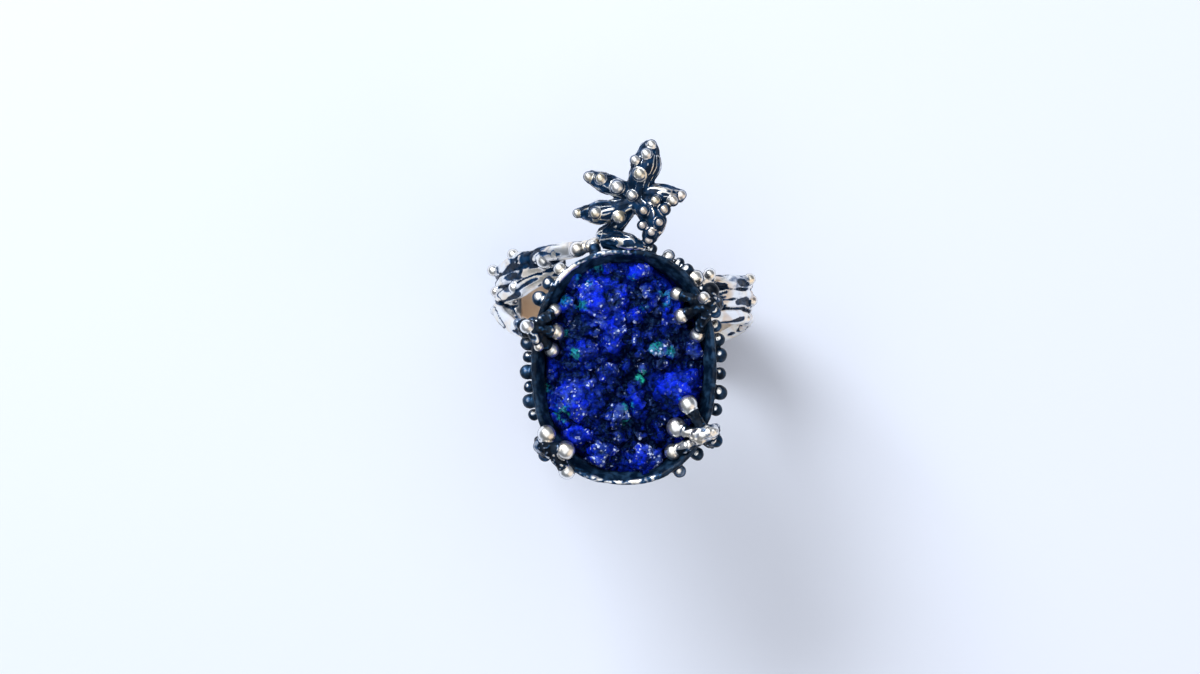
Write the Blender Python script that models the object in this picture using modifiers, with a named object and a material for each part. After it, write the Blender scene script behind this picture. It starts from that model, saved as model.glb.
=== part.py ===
"""A rough blue stone in a silver cup, held by ball-ended claws on a finger ring of fused twigs.

The ring stands on the flattened foot of its band, with the stone facing up.
Shapes are drawn in millimetres and brought to metres when they are finished.
+X is to the right of the stone, +Y runs along the finger towards the sprig, and +Z is up.
The finished ring has its origin in the middle of the flat foot.
"""

import math
import random

import bmesh
import bpy
import numpy as np
from mathutils import Matrix, Vector
from mathutils.bvhtree import BVHTree

METRES = 0.001

# Finger hole and band
FINGER_RADIUS = 8.75
TWIG_AXIS_RADIUS = 9.65
FOOT_FLAT_DEPTH = 0.45
FOOT_TWIG_RADIUS = 0.95
FOOT_MIDDLE_Y = -2.4
HOLE_Z = TWIG_AXIS_RADIUS + FOOT_TWIG_RADIUS - FOOT_FLAT_DEPTH

# Cup that holds the stone
CUP_Y = -5.5
CUP_X = -0.1
CUP_HALF_WIDTH = 7.0
CUP_HALF_LENGTH = 8.95
CUP_POWER = 2.3
CUP_SHEET = 0.45
CUP_FLARE = 0.15
CUP_UNDERSIDE_Z = HOLE_Z + FINGER_RADIUS + 0.15
CUP_RIM_Z = CUP_UNDERSIDE_Z + 4.5
CUP_SIDES = 44

# Stone
STONE_EDGE_Z = CUP_RIM_Z - 1.3
STONE_CROWN_Z = CUP_RIM_Z + 0.2
STONE_SIDES = 36
LUMP_POINTS = 30
LUMP_ROOT = 0.9
GRAVEL_SEED = 7

# Space left between neighbours that touch
GAP = 0.3

# Triangles kept in each solid
CUP_TRIANGLES = 2300
STONE_TRIANGLES = 2500
BAND_TRIANGLES = 2350
SPRIG_TRIANGLES = 1350
CLAW_TRIANGLES = 360

# Colour, roughness and metallic value of each material
BAND_SILVER = ((0.66, 0.64, 0.61), 0.28, 1.0)
SPRIG_SILVER = ((0.55, 0.53, 0.50), 0.30, 1.0)
CLAW_SILVER = ((0.62, 0.61, 0.60), 0.25, 1.0)
CUP_SILVER = ((0.16, 0.17, 0.20), 0.35, 1.0)
BLUE_STONE = ((0.012, 0.02, 0.45), 0.45, 0.0)


# Scene and mesh helpers


def clear_scene():
    for obj in list(bpy.data.objects):
        bpy.data.objects.remove(obj)


def new_collection(name):
    collection = bpy.data.collections.new(name)
    bpy.context.scene.collection.children.link(collection)
    return collection


def new_material(name, finish):
    colour, roughness, metallic = finish
    material = bpy.data.materials.new(name)
    material.use_nodes = True
    shader = material.node_tree.nodes["Principled BSDF"]
    shader.inputs["Base Color"].default_value = (*colour, 1.0)
    shader.inputs["Roughness"].default_value = roughness
    shader.inputs["Metallic"].default_value = metallic
    material.diffuse_color = (*colour, 1.0)
    return material


def helper_object(name, data):
    """An object in the workshop collection, which the finished ring leaves out."""
    obj = bpy.data.objects.new(name, data)
    WORKSHOP.objects.link(obj)
    obj.hide_render = True
    obj.display_type = "WIRE"
    return obj


def evaluated_mesh(obj):
    """The object's mesh with its modifiers applied, welded and with only its largest body kept."""
    bpy.context.view_layer.update()
    graph = bpy.context.evaluated_depsgraph_get()
    mesh = bpy.data.meshes.new_from_object(obj.evaluated_get(graph))
    shape = bmesh.new()
    shape.from_mesh(mesh)
    bmesh.ops.remove_doubles(shape, verts=shape.verts, dist=0.001)
    keep_largest_body(shape)
    bmesh.ops.triangulate(shape, faces=shape.faces)
    shape.to_mesh(mesh)
    shape.free()
    return mesh


def keep_largest_body(shape):
    """Drops the crumbs that a cut leaves loose."""
    unseen = set(shape.verts)
    bodies = []
    while unseen:
        body = [unseen.pop()]
        for vert in body:
            for edge in vert.link_edges:
                other = edge.other_vert(vert)
                if other in unseen:
                    unseen.remove(other)
                    body.append(other)
        bodies.append(body)
    bodies.sort(key=spread)
    for body in bodies[:-1]:
        bmesh.ops.delete(shape, geom=body, context="VERTS")


def spread(verts):
    """How far apart the vertices lie."""
    sides = [max(v.co[axis] for v in verts) - min(v.co[axis] for v in verts) for axis in range(3)]
    return sum(sides)


def joined(meshes):
    """Several meshes in one, still separate bodies."""
    shape = bmesh.new()
    for mesh in meshes:
        shape.from_mesh(mesh)
    mesh = bpy.data.meshes.new("joined")
    shape.to_mesh(mesh)
    shape.free()
    return mesh


def ball(centre, radius):
    """A small faceted ball, as a mesh."""
    shape = bmesh.new()
    bmesh.ops.create_icosphere(shape, subdivisions=2, radius=radius, matrix=Matrix.Translation(centre))
    mesh = bpy.data.meshes.new("ball")
    shape.to_mesh(mesh)
    shape.free()
    return mesh


def twig(points, radii, sides_setting=2):
    """A smooth round rod through the points, as a closed mesh with its own radius at each point."""
    curve = bpy.data.curves.new("twig", "CURVE")
    curve.dimensions = "3D"
    curve.bevel_depth = 1.0
    curve.bevel_resolution = sides_setting
    curve.resolution_u = 4
    curve.use_fill_caps = True
    spline = curve.splines.new("BEZIER")
    spline.bezier_points.add(len(points) - 1)
    for place, point, radius in zip(spline.bezier_points, points, radii):
        place.co = point
        place.radius = radius
        place.handle_left_type = place.handle_right_type = "AUTO"
    obj = helper_object("twig", curve)
    mesh = evaluated_mesh(obj)
    bpy.data.objects.remove(obj)
    return mesh


def fused(name, meshes, voxel, triangles):
    """One skin over overlapping meshes, with about that many triangles."""
    obj = helper_object(name, joined(meshes))
    remesh = obj.modifiers.new("skin", "REMESH")
    remesh.mode = "VOXEL"
    remesh.voxel_size = voxel
    obj.data = evaluated_mesh(obj)
    obj.modifiers.clear()
    simplify(obj, triangles)
    return obj


def simplify(obj, triangles):
    """Merges small facets until about that many triangles are left."""
    if len(obj.data.polygons) > triangles:
        decimate = obj.modifiers.new("facets", "DECIMATE")
        decimate.ratio = triangles / len(obj.data.polygons)
        obj.data = evaluated_mesh(obj)
        obj.modifiers.clear()


def boolean(obj, other, operation, own_overlaps=False):
    """Cuts or joins the other object into this one, for good."""
    modifier = obj.modifiers.new(operation.lower(), "BOOLEAN")
    modifier.operation = operation
    modifier.object = other
    modifier.use_self = own_overlaps
    obj.data = evaluated_mesh(obj)
    obj.modifiers.clear()


def clear_of(obj, neighbour_parts):
    """Cuts a neighbour, drawn thicker by the gap that touching solids keep, out of the object."""
    cutter = fused("cutter", neighbour_parts, voxel=0.15, triangles=9000)
    boolean(obj, cutter, "DIFFERENCE")
    bpy.data.objects.remove(cutter)


def finished(obj, name, material):
    """Brings a drawn shape to metres as a node of the ring."""
    mesh = obj.data.copy()
    mesh.name = name
    mesh.transform(Matrix.Scale(METRES, 4) @ Matrix.Translation((0, -FOOT_MIDDLE_Y, 0)))
    mesh.materials.clear()
    mesh.materials.append(material)
    mesh.shade_smooth()
    mesh.set_sharp_from_angle(angle=math.radians(35))
    node = bpy.data.objects.new(name, mesh)
    RING.objects.link(node)
    return node


# Oval outline shared by the cup and the stone


def oval(angle, half_width=CUP_HALF_WIDTH, half_length=CUP_HALF_LENGTH):
    """The point of the cup's oval in that direction from its middle, in degrees from +X."""
    across, along = math.cos(math.radians(angle)), math.sin(math.radians(angle))
    reach = abs(across / half_width) ** CUP_POWER + abs(along / half_length) ** CUP_POWER
    size = reach ** (-1 / CUP_POWER)
    return Vector((CUP_X + across * size, CUP_Y + along * size, 0))


def oval_reach(x, y, half_width, half_length):
    """0 at the oval's middle and 1 on its edge."""
    across, along = abs(x - CUP_X) / half_width, abs(y - CUP_Y) / half_length
    return (across**CUP_POWER + along**CUP_POWER) ** (1 / CUP_POWER)


def oval_directions(count):
    """Directions that space points evenly enough round the oval."""
    stretch = CUP_HALF_LENGTH / CUP_HALF_WIDTH
    turns = [2 * math.pi * step / count for step in range(count)]
    return [math.degrees(math.atan2(stretch * math.sin(turn), math.cos(turn))) for turn in turns]


def oval_solid(name, rows, sides):
    """A closed loft of oval rings, each with its inset from the cup's outline and its height.

    A height may be a function of x and y, which lets a ring rise and fall.
    """
    shape = bmesh.new()
    rings = []
    for inset, height in rows:
        ring = []
        for angle in oval_directions(sides):
            place = oval(angle, CUP_HALF_WIDTH - inset, CUP_HALF_LENGTH - inset)
            place.z = height(place.x, place.y) if callable(height) else height
            ring.append(shape.verts.new(place))
        rings.append(ring)
    for low, high in zip(rings, rings[1:]):
        for step in range(sides):
            after = (step + 1) % sides
            shape.faces.new((low[step], low[after], high[after], high[step]))
    shape.faces.new(rings[0][::-1])
    shape.faces.new(rings[-1])
    bmesh.ops.recalc_face_normals(shape, faces=shape.faces)
    mesh = bpy.data.meshes.new(name)
    shape.to_mesh(mesh)
    shape.free()
    return mesh


# Cup: an oval sheet-metal dish with a slightly uneven rim and grains soldered round it

# Direction from the cup's middle in degrees, radius, and depth below the rim
GRAINS = [
    (166, 0.60, 1.5), (174, 0.46, 2.2), (183, 0.58, 1.5), (192, 0.46, 2.2), (200, 0.58, 1.5),
    (208, 0.46, 2.2), (154, 0.48, 2.2), (141, 0.60, 1.7), (132, 0.52, 2.3), (123, 0.55, 1.6),
    (104, 0.50, 1.6), (77, 0.46, 1.2), (68, 0.48, 1.4), (62, 0.44, 1.9), (57, 0.48, 1.4),
    (51, 0.60, 1.6), (45, 0.42, 1.9), (24, 0.48, 2.2), (16, 0.52, 1.5), (7, 0.56, 1.5),
    (-4, 0.50, 1.8), (-15, 0.60, 1.5), (-25, 0.50, 1.8), (-50, 0.54, 1.7), (-62, 0.50, 1.5),
]


def rim_height(x, y):
    """The rim wavers a little, as hand-filed sheet does."""
    turn = math.atan2(y - CUP_Y, x - CUP_X)
    return CUP_RIM_Z + 0.07 * math.sin(5 * turn) + 0.05 * math.sin(9 * turn + 1)


def dish_mesh(grow=0.0):
    """The bare dish, from its underside up the wall, over the rim and down inside to its floor."""
    def rim(x, y):
        return rim_height(x, y) + grow

    def rim_shoulder(x, y):
        return rim_height(x, y) + grow - 0.12

    base = CUP_UNDERSIDE_Z
    inside = CUP_SHEET + grow
    rows = [
        (0.8 - grow, base - grow),
        (0.2 - grow, base + 0.35),
        (-grow, base + 0.9),
        (-CUP_FLARE - grow, rim_shoulder),
        (-CUP_FLARE + 0.1 - grow, rim),
        (CUP_SHEET - CUP_FLARE - 0.1 + grow, rim),
        (CUP_SHEET - CUP_FLARE + grow, rim_shoulder),
        (inside, base + 0.9),
        (inside + 0.8, base + CUP_SHEET + grow),
    ]
    return oval_solid("dish", rows, CUP_SIDES)


def grain_balls(grow=0.0):
    balls = []
    for direction, radius, depth in GRAINS:
        wall = oval(direction)
        outward = (wall - Vector((CUP_X, CUP_Y, 0))).normalized()
        place = wall + outward * radius * 0.8
        balls.append(ball((place.x, place.y, CUP_RIM_Z - depth), radius + grow))
    return balls


def cup_parts(grow=0.0):
    return [dish_mesh(grow)] + grain_balls(grow)


def make_cup():
    cup = helper_object("drawn_cup", dish_mesh())
    boolean(cup, helper_object("grains", joined(grain_balls())), "UNION", own_overlaps=True)
    simplify(cup, CUP_TRIANGLES)
    return cup


# Stone: angular lumps grown together on a low dome

# Middle of each lump from the stone's own middle, its half sizes, and how far it stands above the dome
LUMPS = [
    (-1.6, 5.2, 2.3, 1.95, 1.25), (-0.8, 2.5, 1.3, 1.6, 0.95), (1.35, 7.35, 1.2, 1.1, 0.75),
    (-1.2, 7.55, 1.0, 0.9, 0.60), (-4.05, 6.6, 0.9, 1.0, 0.45), (2.0, 5.5, 0.9, 1.5, 0.85),
    (3.6, 4.2, 1.0, 2.2, 0.80), (-4.2, 4.6, 1.1, 1.5, 0.60), (-3.0, 1.3, 1.25, 1.1, 0.85),
    (2.9, 1.3, 1.3, 1.0, 0.75), (3.8, -1.9, 2.35, 2.2, 1.15), (-3.3, -2.2, 2.5, 2.1, 1.05),
    (-5.4, 0.1, 0.9, 1.0, 0.45), (-3.5, -5.2, 1.5, 0.9, 0.60), (-1.75, -6.7, 1.4, 1.35, 0.90),
    (1.4, -7.0, 1.8, 1.5, 0.95), (2.6, -4.95, 1.1, 1.3, 0.70), (-0.6, -3.6, 1.2, 1.3, 0.60),
    (-1.1, -0.5, 1.2, 1.2, 0.75), (1.0, 2.1, 0.9, 1.2, 0.55), (0.9, 3.9, 0.9, 1.0, 0.65),
    (0.9, -2.2, 1.0, 1.1, 0.55), (5.3, 1.3, 0.9, 1.0, 0.40), (4.3, -5.5, 1.0, 0.9, 0.45),
    (4.7, 4.0, 0.8, 1.1, 0.35), (-4.9, 2.4, 0.9, 0.9, 0.40), (4.8, -4.2, 0.9, 1.0, 0.40),
    (-5.1, -4.0, 0.8, 1.1, 0.35), (-1.2, 3.8, 1.6, 1.3, 1.05),
]
# Small lumps that fill the hollows: rings of them round the stone, as share of its reach and how many
SMALL_LUMP_RINGS = [(0.86, 26), (0.66, 20), (0.46, 14), (0.24, 8), (0.0, 1)]
STONE_INSET = 0.8
STONE_SHIFT = Vector((-0.15, 0.1, 0))
# How much lower the dome lies than the surface that the lumps are set out on
VALLEY_DEPTH = 0.35
# How far the stone reaches towards the cup's outline, by direction from the cup's middle in degrees
STONE_REACH = [
    (-180, 0.84), (-165, 0.88), (-151, 0.91), (-137, 0.84), (-112, 0.85), (-100, 0.92), (-80, 0.95),
    (-68, 0.89), (-45, 0.86), (-22, 0.88), (0, 0.89), (12, 0.91), (34, 0.76), (56, 0.82), (72, 0.88),
    (80, 0.93), (105, 0.93), (120, 0.94), (140, 0.88), (180, 0.84),
]
EDGE_DROP = 1.3


def dome_height(x, y):
    x, y = x - STONE_SHIFT.x, y - STONE_SHIFT.y
    reach = min(1.0, oval_reach(x, y, CUP_HALF_WIDTH - STONE_INSET, CUP_HALF_LENGTH - STONE_INSET))
    return STONE_EDGE_Z + (STONE_CROWN_Z - STONE_EDGE_Z) * (1 - reach**2)


def dome_mesh(grow=0.0):
    """The stone's body below its lumps."""
    foot_z = CUP_UNDERSIDE_Z + CUP_SHEET + GAP - grow
    edge = STONE_INSET - grow

    def top(x, y):
        return dome_height(x, y) - VALLEY_DEPTH + grow

    shoulder = STONE_EDGE_Z - VALLEY_DEPTH - 0.3
    rows = [(edge + 0.7, foot_z), (edge, foot_z + 0.9), (edge, shoulder), (edge + 0.4, top)]
    rows += [(edge + inset, top) for inset in (1.6, 3.0, 4.4)]
    dome = oval_solid("dome", rows, STONE_SIDES)
    dome.transform(Matrix.Translation(STONE_SHIFT))
    return dome


def lump_mesh(x, y, half_width, half_length, rise, seed, grow=0.0):
    """An angular lump: the convex hull of points thrown on an egg shape."""
    dice = random.Random(seed)
    middle = Vector((CUP_X + x, CUP_Y + y, dome_height(CUP_X + x, CUP_Y + y) - LUMP_ROOT))
    size = Vector((half_width + grow, half_length + grow, rise + LUMP_ROOT + grow))
    shape = bmesh.new()
    for _ in range(LUMP_POINTS):
        way = Vector((dice.gauss(0, 1), dice.gauss(0, 1), dice.gauss(0, 1))).normalized()
        way *= dice.uniform(0.92, 1.1)
        shape.verts.new(middle + way * size)
    bmesh.ops.convex_hull(shape, input=shape.verts)
    loose = [vert for vert in shape.verts if not vert.link_faces]
    bmesh.ops.delete(shape, geom=loose, context="VERTS")
    mesh = bpy.data.meshes.new("lump")
    shape.to_mesh(mesh)
    shape.free()
    return mesh


def small_lumps():
    """Gravel between the big lumps, thrown evenly with chance sizes."""
    dice = random.Random(GRAVEL_SEED)
    gravel = []
    for reach, count in SMALL_LUMP_RINGS:
        for step in range(count):
            angle = 360 * (step + dice.uniform(-0.3, 0.3)) / count
            place = oval(angle, CUP_HALF_WIDTH - STONE_INSET, CUP_HALF_LENGTH - STONE_INSET)
            x, y = (place.x - CUP_X) * reach, (place.y - CUP_Y) * reach
            half_sizes = dice.uniform(0.5, 0.95), dice.uniform(0.5, 0.95)
            gravel.append((x, y, *half_sizes, dice.uniform(0.1, 0.6) - 0.4 * VALLEY_DEPTH))
    return gravel


def stone_parts(grow=0.0):
    lumps = [lump_mesh(*lump, seed, grow) for seed, lump in enumerate(LUMPS + small_lumps())]
    return [dome_mesh(grow)] + lumps


def sink_edge(mesh):
    """Lowers the stone outside its own uneven outline, which ends well short of the wall in places."""
    directions, reaches = zip(*STONE_REACH)
    foot_z = CUP_UNDERSIDE_Z + CUP_SHEET + GAP
    for vert in mesh.vertices:
        direction = math.degrees(math.atan2(vert.co.y - CUP_Y, vert.co.x - CUP_X))
        edge = np.interp(direction, directions, reaches)
        outside = (oval_reach(vert.co.x, vert.co.y, CUP_HALF_WIDTH, CUP_HALF_LENGTH) / edge - 0.98) / 0.07
        share = (vert.co.z - foot_z) / (STONE_EDGE_Z - foot_z)
        vert.co.z -= EDGE_DROP * min(max(outside, 0), 1) * min(max(share, 0), 1)


def make_stone():
    stone = fused("drawn_stone", stone_parts(), voxel=0.2, triangles=2 * STONE_TRIANGLES)
    sink_edge(stone.data)
    # Lumps at the edge stop short of the wall
    boolean(stone, helper_object("wall_side", stone_limit()), "INTERSECT")
    simplify(stone, STONE_TRIANGLES)
    return stone


def stone_limit():
    """The room that the dish leaves for the stone."""
    inset = CUP_SHEET - CUP_FLARE + GAP
    foot_z = CUP_UNDERSIDE_Z + CUP_SHEET + GAP
    rows = [(inset + 1.2, foot_z), (inset + 0.35, foot_z + 0.7)]
    rows += [(inset + 0.15, CUP_RIM_Z - 1), (inset, CUP_RIM_Z + 6)]
    return oval_solid("limit", rows, STONE_SIDES)


# Band: four twigs laid side by side round the finger hole, opened into a window on the left shoulder

# Angle round the hole in degrees from the foot, left negative, then each twig's place along the finger
TWIG_ANGLES = [-150, -136, -122, -108, -94, -80, -64, -42, 0, 42, 64, 80, 94, 108, 122, 136, 150]
TWIG_PLACES = {
    "back": [
        3.4, 3.1, 2.7, 2.2, 1.8, 1.6, 1.4, 0.9, -0.3,
        0.5, 0.8, 1.0, 1.1, 1.1, 1.1, 1.1, 1.1,
    ],
    "upper_middle": [
        2.6, 2.2, 1.7, 1.3, 1.0, 0.7, 0.4, -0.3, -1.7,
        -0.8, -0.4, -0.1, 0.1, 0.1, 0.1, 0.1, 0.1,
    ],
    "lower_middle": [
        1.8, 1.3, 0.5, 0.2, 0.1, -0.1, -0.5, -1.3, -3.1,
        -1.9, -1.3, -0.9, -0.6, -0.4, -0.4, -0.4, -0.4,
    ],
    "front": [
        -3.0, -2.8, -2.5, -1.8, -1.0, -1.0, -1.4, -2.4, -4.5,
        -3.3, -2.5, -2.0, -1.7, -1.6, -1.6, -1.6, -1.6,
    ],
}
TWIG_RADII = {
    "back": [
        0.75, 0.8, 0.8, 0.75, 0.7, 0.7, 0.75, 0.85, 0.95,
        0.85, 0.75, 0.7, 0.65, 0.6, 0.65, 0.6, 0.6,
    ],
    "upper_middle": [
        0.6, 0.6, 0.65, 0.7, 0.7, 0.7, 0.75, 0.85, 0.95,
        0.85, 0.75, 0.7, 0.65, 0.6, 0.6, 0.65, 0.6,
    ],
    "lower_middle": [
        0.5, 0.55, 0.6, 0.65, 0.65, 0.7, 0.75, 0.85, 0.95,
        0.85, 0.75, 0.7, 0.6, 0.55, 0.55, 0.5, 0.5,
    ],
    "front": [
        0.6, 0.6, 0.65, 0.7, 0.65, 0.7, 0.75, 0.85, 0.95,
        0.85, 0.75, 0.7, 0.65, 0.65, 0.6, 0.65, 0.6,
    ],
}
# The smooth inner side of the band, which stops below the window
LINER_SPAN = (-112, 150)
LINER_DEPTH = 0.3
STATION_STEP = 7
# The branch that leaves the left shoulder and climbs behind the cup towards the sprig
CLIMBING_BRANCH = [
    (-7.4, 2.9, 16.3), (-5.9, 3.3, 18.6), (-4.2, 3.7, 20.1), (-2.9, 4.0, 20.9), (-2.1, 4.4, 21.3),
]
CLIMBING_RADII = [0.75, 0.75, 0.68, 0.56, 0.42]
# Buds on the shoulders: middle and radius
BUDS = [
    ((-10.45, 2.1, 11.2), 0.45), ((-8.8, 3.3, 15.0), 0.45), ((-6.6, 3.0, 18.3), 0.62),
    ((-8.7, 0.7, 15.2), 0.45), ((-10.2, 0.4, 11.9), 0.42), ((-5.3, 2.9, 19.6), 0.55),
    ((-4.2, 3.9, 20.6), 0.60), ((-2.8, 4.3, 21.3), 0.50), ((9.9, 1.4, 12.6), 0.45),
    ((10.1, -0.3, 11.5), 0.45), ((9.6, -1.7, 13.2), 0.40), ((6.6, 1.7, 17.9), 0.50),
    ((-10.3, -1.1, 11.0), 0.38),
]


def round_the_hole(angle, along):
    """A point on a twig's middle line, at that angle from the foot."""
    turn = math.radians(angle)
    return Vector((TWIG_AXIS_RADIUS * math.sin(turn), along, HOLE_Z - TWIG_AXIS_RADIUS * math.cos(turn)))


def upright_box(low, high):
    """A box between two corners, as a helper object."""
    shape = bmesh.new()
    low, high = Vector(low), Vector(high)
    placed = Matrix.Translation((low + high) / 2) @ Matrix.Diagonal((*(high - low), 1))
    bmesh.ops.create_cube(shape, size=1, matrix=placed)
    mesh = bpy.data.meshes.new("box")
    shape.to_mesh(mesh)
    shape.free()
    return helper_object("box", mesh)


def finger_cutter():
    shape = bmesh.new()
    placed = Matrix.Translation((0, 0, HOLE_Z)) @ Matrix.Rotation(math.pi / 2, 4, "X")
    bmesh.ops.create_cone(
        shape, matrix=placed, cap_ends=True, segments=72,
        radius1=FINGER_RADIUS, radius2=FINGER_RADIUS, depth=30,
    )
    mesh = bpy.data.meshes.new("finger")
    shape.to_mesh(mesh)
    shape.free()
    return helper_object("finger", mesh)


def stations(first, last):
    """Angles round the hole, close enough together for a round band."""
    count = round((last - first) / STATION_STEP)
    return np.linspace(first, last, count + 1)


def place_along(name, angle):
    return float(np.interp(angle, TWIG_ANGLES, TWIG_PLACES[name]))


def liner_mesh(grow=0.0):
    """A flat strip from the front twig to the back twig, which the finger hole cuts smooth."""
    shape = bmesh.new()
    sections = []
    for angle in stations(*LINER_SPAN):
        turn = math.radians(angle)
        section = []
        front = place_along("front", angle) - 0.2 - grow
        back = place_along("back", angle) + 0.2 + grow
        inner, outer = FINGER_RADIUS - LINER_DEPTH, TWIG_AXIS_RADIUS
        for along, radius in [(front, inner), (back, inner), (back, outer), (front, outer)]:
            section.append(shape.verts.new((radius * math.sin(turn), along, HOLE_Z - radius * math.cos(turn))))
        sections.append(section)
    for low, high in zip(sections, sections[1:]):
        for step in range(4):
            after = (step + 1) % 4
            shape.faces.new((low[step], low[after], high[after], high[step]))
    shape.faces.new(sections[0][::-1])
    shape.faces.new(sections[-1])
    bmesh.ops.recalc_face_normals(shape, faces=shape.faces)
    mesh = bpy.data.meshes.new("liner")
    shape.to_mesh(mesh)
    shape.free()
    return mesh


def band_parts(grow=0.0):
    parts = [liner_mesh(grow)]
    angles = stations(TWIG_ANGLES[0], TWIG_ANGLES[-1])
    for name in TWIG_PLACES:
        line = [round_the_hole(angle, place_along(name, angle)) for angle in angles]
        radii = np.interp(angles, TWIG_ANGLES, TWIG_RADII[name]) + grow
        parts.append(twig(line, radii))
    parts.append(twig(CLIMBING_BRANCH, [radius + grow for radius in CLIMBING_RADII]))
    parts += [ball(place, radius + grow) for place, radius in BUDS]
    return parts


def make_band():
    band = fused("drawn_band", band_parts(), voxel=0.15, triangles=2 * BAND_TRIANGLES)
    boolean(band, finger_cutter(), "DIFFERENCE")
    boolean(band, upright_box((-15, -15, -5), (15, 15, 0)), "DIFFERENCE")
    clear_of(band, cup_parts(GAP))
    simplify(band, BAND_TRIANGLES)
    return band


# Sprig: a coral-like tuft of five lobes with grains on them

# Each lobe's middle line and its radii
LOBES = {
    "top": (
        [(0.9, 7.6, 22.9), (1.15, 8.8, 23.2), (1.6, 10.1, 23.4), (1.85, 11.1, 23.3)],
        [0.85, 0.95, 1.25, 0.85],
    ),
    "upper_left": (
        [(0.6, 7.7, 22.9), (-0.4, 8.2, 23.0), (-1.6, 8.7, 23.0), (-2.6, 9.1, 22.9)],
        [0.7, 0.8, 0.85, 0.55],
    ),
    "left": (
        [(0.6, 7.2, 22.9), (-0.6, 6.7, 22.9), (-2.1, 6.4, 22.7), (-3.5, 6.4, 22.5)],
        [0.7, 0.8, 0.98, 0.42],
    ),
    "right": (
        [(0.9, 7.5, 22.9), (2.0, 7.9, 23.1), (3.1, 7.8, 23.2), (4.1, 7.7, 23.1)],
        [0.75, 0.75, 0.82, 0.55],
    ),
    "lower_right": (
        [(0.9, 7.2, 22.9), (1.8, 6.5, 23.3), (2.2, 5.6, 23.5), (1.9, 4.6, 23.4)],
        [0.8, 0.95, 1.0, 0.65],
    ),
    "root_leaf": (
        [(-1.6, 4.5, 22.2), (-0.6, 4.5, 22.8), (0.4, 4.4, 23.2), (1.2, 4.1, 23.4)],
        [0.6, 0.62, 0.58, 0.3],
    ),
}
STEM = (
    [(0.7, 7.3, 22.8), (-0.1, 6.2, 22.4), (-0.9, 5.2, 21.9), (-1.7, 4.75, 21.6)],
    [0.75, 0.65, 0.65, 0.6],
)
# Grains on the sprig: middle and radius
SPRIG_GRAINS = [
    ((1.1, 9.35, 24.1), 0.56), ((0.75, 10.4, 24.2), 0.42), ((1.6, 10.9, 24.3), 0.45),
    ((2.0, 11.6, 23.8), 0.42), ((-2.8, 9.15, 23.1), 0.45), ((-1.9, 9.0, 23.6), 0.46),
    ((-0.65, 8.35, 23.65), 0.56), ((0.5, 7.7, 23.7), 0.42), ((-3.7, 6.35, 22.6), 0.38),
    ((-2.3, 6.35, 23.5), 0.46), ((-0.5, 6.05, 23.3), 0.55), ((4.3, 7.75, 23.3), 0.42),
    ((3.65, 7.3, 23.7), 0.46), ((2.3, 7.3, 23.9), 0.42), ((1.4, 6.5, 24.1), 0.48),
    ((3.0, 6.6, 23.9), 0.50), ((2.6, 5.6, 24.3), 0.45), ((1.3, 5.4, 24.0), 0.42),
    ((2.0, 4.85, 24.0), 0.46), ((1.8, 4.3, 23.5), 0.50),
]


def sprig_parts(grow=0.0):
    parts = []
    for line, radii in [*LOBES.values(), STEM]:
        parts.append(twig(line, [radius + grow for radius in radii]))
        parts.append(ball(line[-1], radii[-1] + grow))
    parts += [ball(place, radius + grow) for place, radius in SPRIG_GRAINS]
    return parts


def make_sprig():
    sprig = fused("drawn_sprig", sprig_parts(), voxel=0.12, triangles=2 * SPRIG_TRIANGLES)
    clear_of(sprig, cup_parts(GAP))
    clear_of(sprig, band_parts(GAP))
    simplify(sprig, SPRIG_TRIANGLES)
    return sprig


# Claws: short branches that rise from the cup's wall and rest their ball ends on the stone

# For each claw, where it leaves the wall in degrees round the cup, then its ball ends as place and radius.
# A ball end without a height rests on the stone.
CLAWS = {
    "claw_upper_left": (158, [
        ((-5.42, -1.12, None), 0.48), ((-5.27, -2.81, None), 0.55), ((-5.65, -4.19, None), 0.55),
        ((-7.58, -2.38, 24.5), 0.50), ((-8.2, -2.12, 23.6), 0.38), ((-6.65, -3.92, 24.3), 0.36)]),
    "claw_lower_left": (225, [
        ((-6.04, -10.65, None), 0.66), ((-4.58, -11.88, None), 0.68), ((-6.55, -11.6, 23.7), 0.50),
        ((-6.2, -12.3, 23.0), 0.46), ((-4.5, -13.5, 23.2), 0.60)]),
    "claw_lower_right": (-40, [
        ((4.81, -8.38, None), 0.68), ((3.92, -10.15, None), 0.72), ((3.65, -12.04, None), 0.60),
        ((6.27, -10.54, 24.4), 0.74), ((6.95, -11.15, 23.8), 0.50)]),
    "claw_upper_right": (36, [
        ((3.96, 0.12, None), 0.50), ((4.31, -1.58, None), 0.55), ((5.54, -3.04, None), 0.55),
        ((6.04, -0.15, 24.6), 0.46), ((6.92, -1.31, 24.1), 0.42), ((6.55, 0.35, 23.5), 0.62)]),
}
CLAW_STEM_RADIUS = 0.42


def resting_height(x, y, radius, ground):
    """The height at which a ball of that radius sits on the stone or rim below it."""
    highest = STONE_EDGE_Z
    for ring in (0.0, 0.5, 0.9):
        for turn in range(0, 360, 45):
            shift = Vector((math.cos(math.radians(turn)), math.sin(math.radians(turn)))) * radius * ring
            hit = ground.ray_cast(Vector((x + shift.x, y + shift.y, 40)), Vector((0, 0, -1)))[0]
            if hit:
                highest = max(highest, hit.z + radius * (math.sqrt(1 - ring**2) - 1))
    return highest + radius + GAP


def claw_branch(foot, knee, tip, radius):
    """One branch from the wall over the rim to its ball end."""
    middle = (knee + tip) / 2 + Vector((0, 0, 0.25))
    stems = [CLAW_STEM_RADIUS * 1.35, CLAW_STEM_RADIUS * 1.2, CLAW_STEM_RADIUS, radius * 0.8]
    return [twig([foot, knee, middle, tip], stems, 1), ball(tip, radius)]


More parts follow.
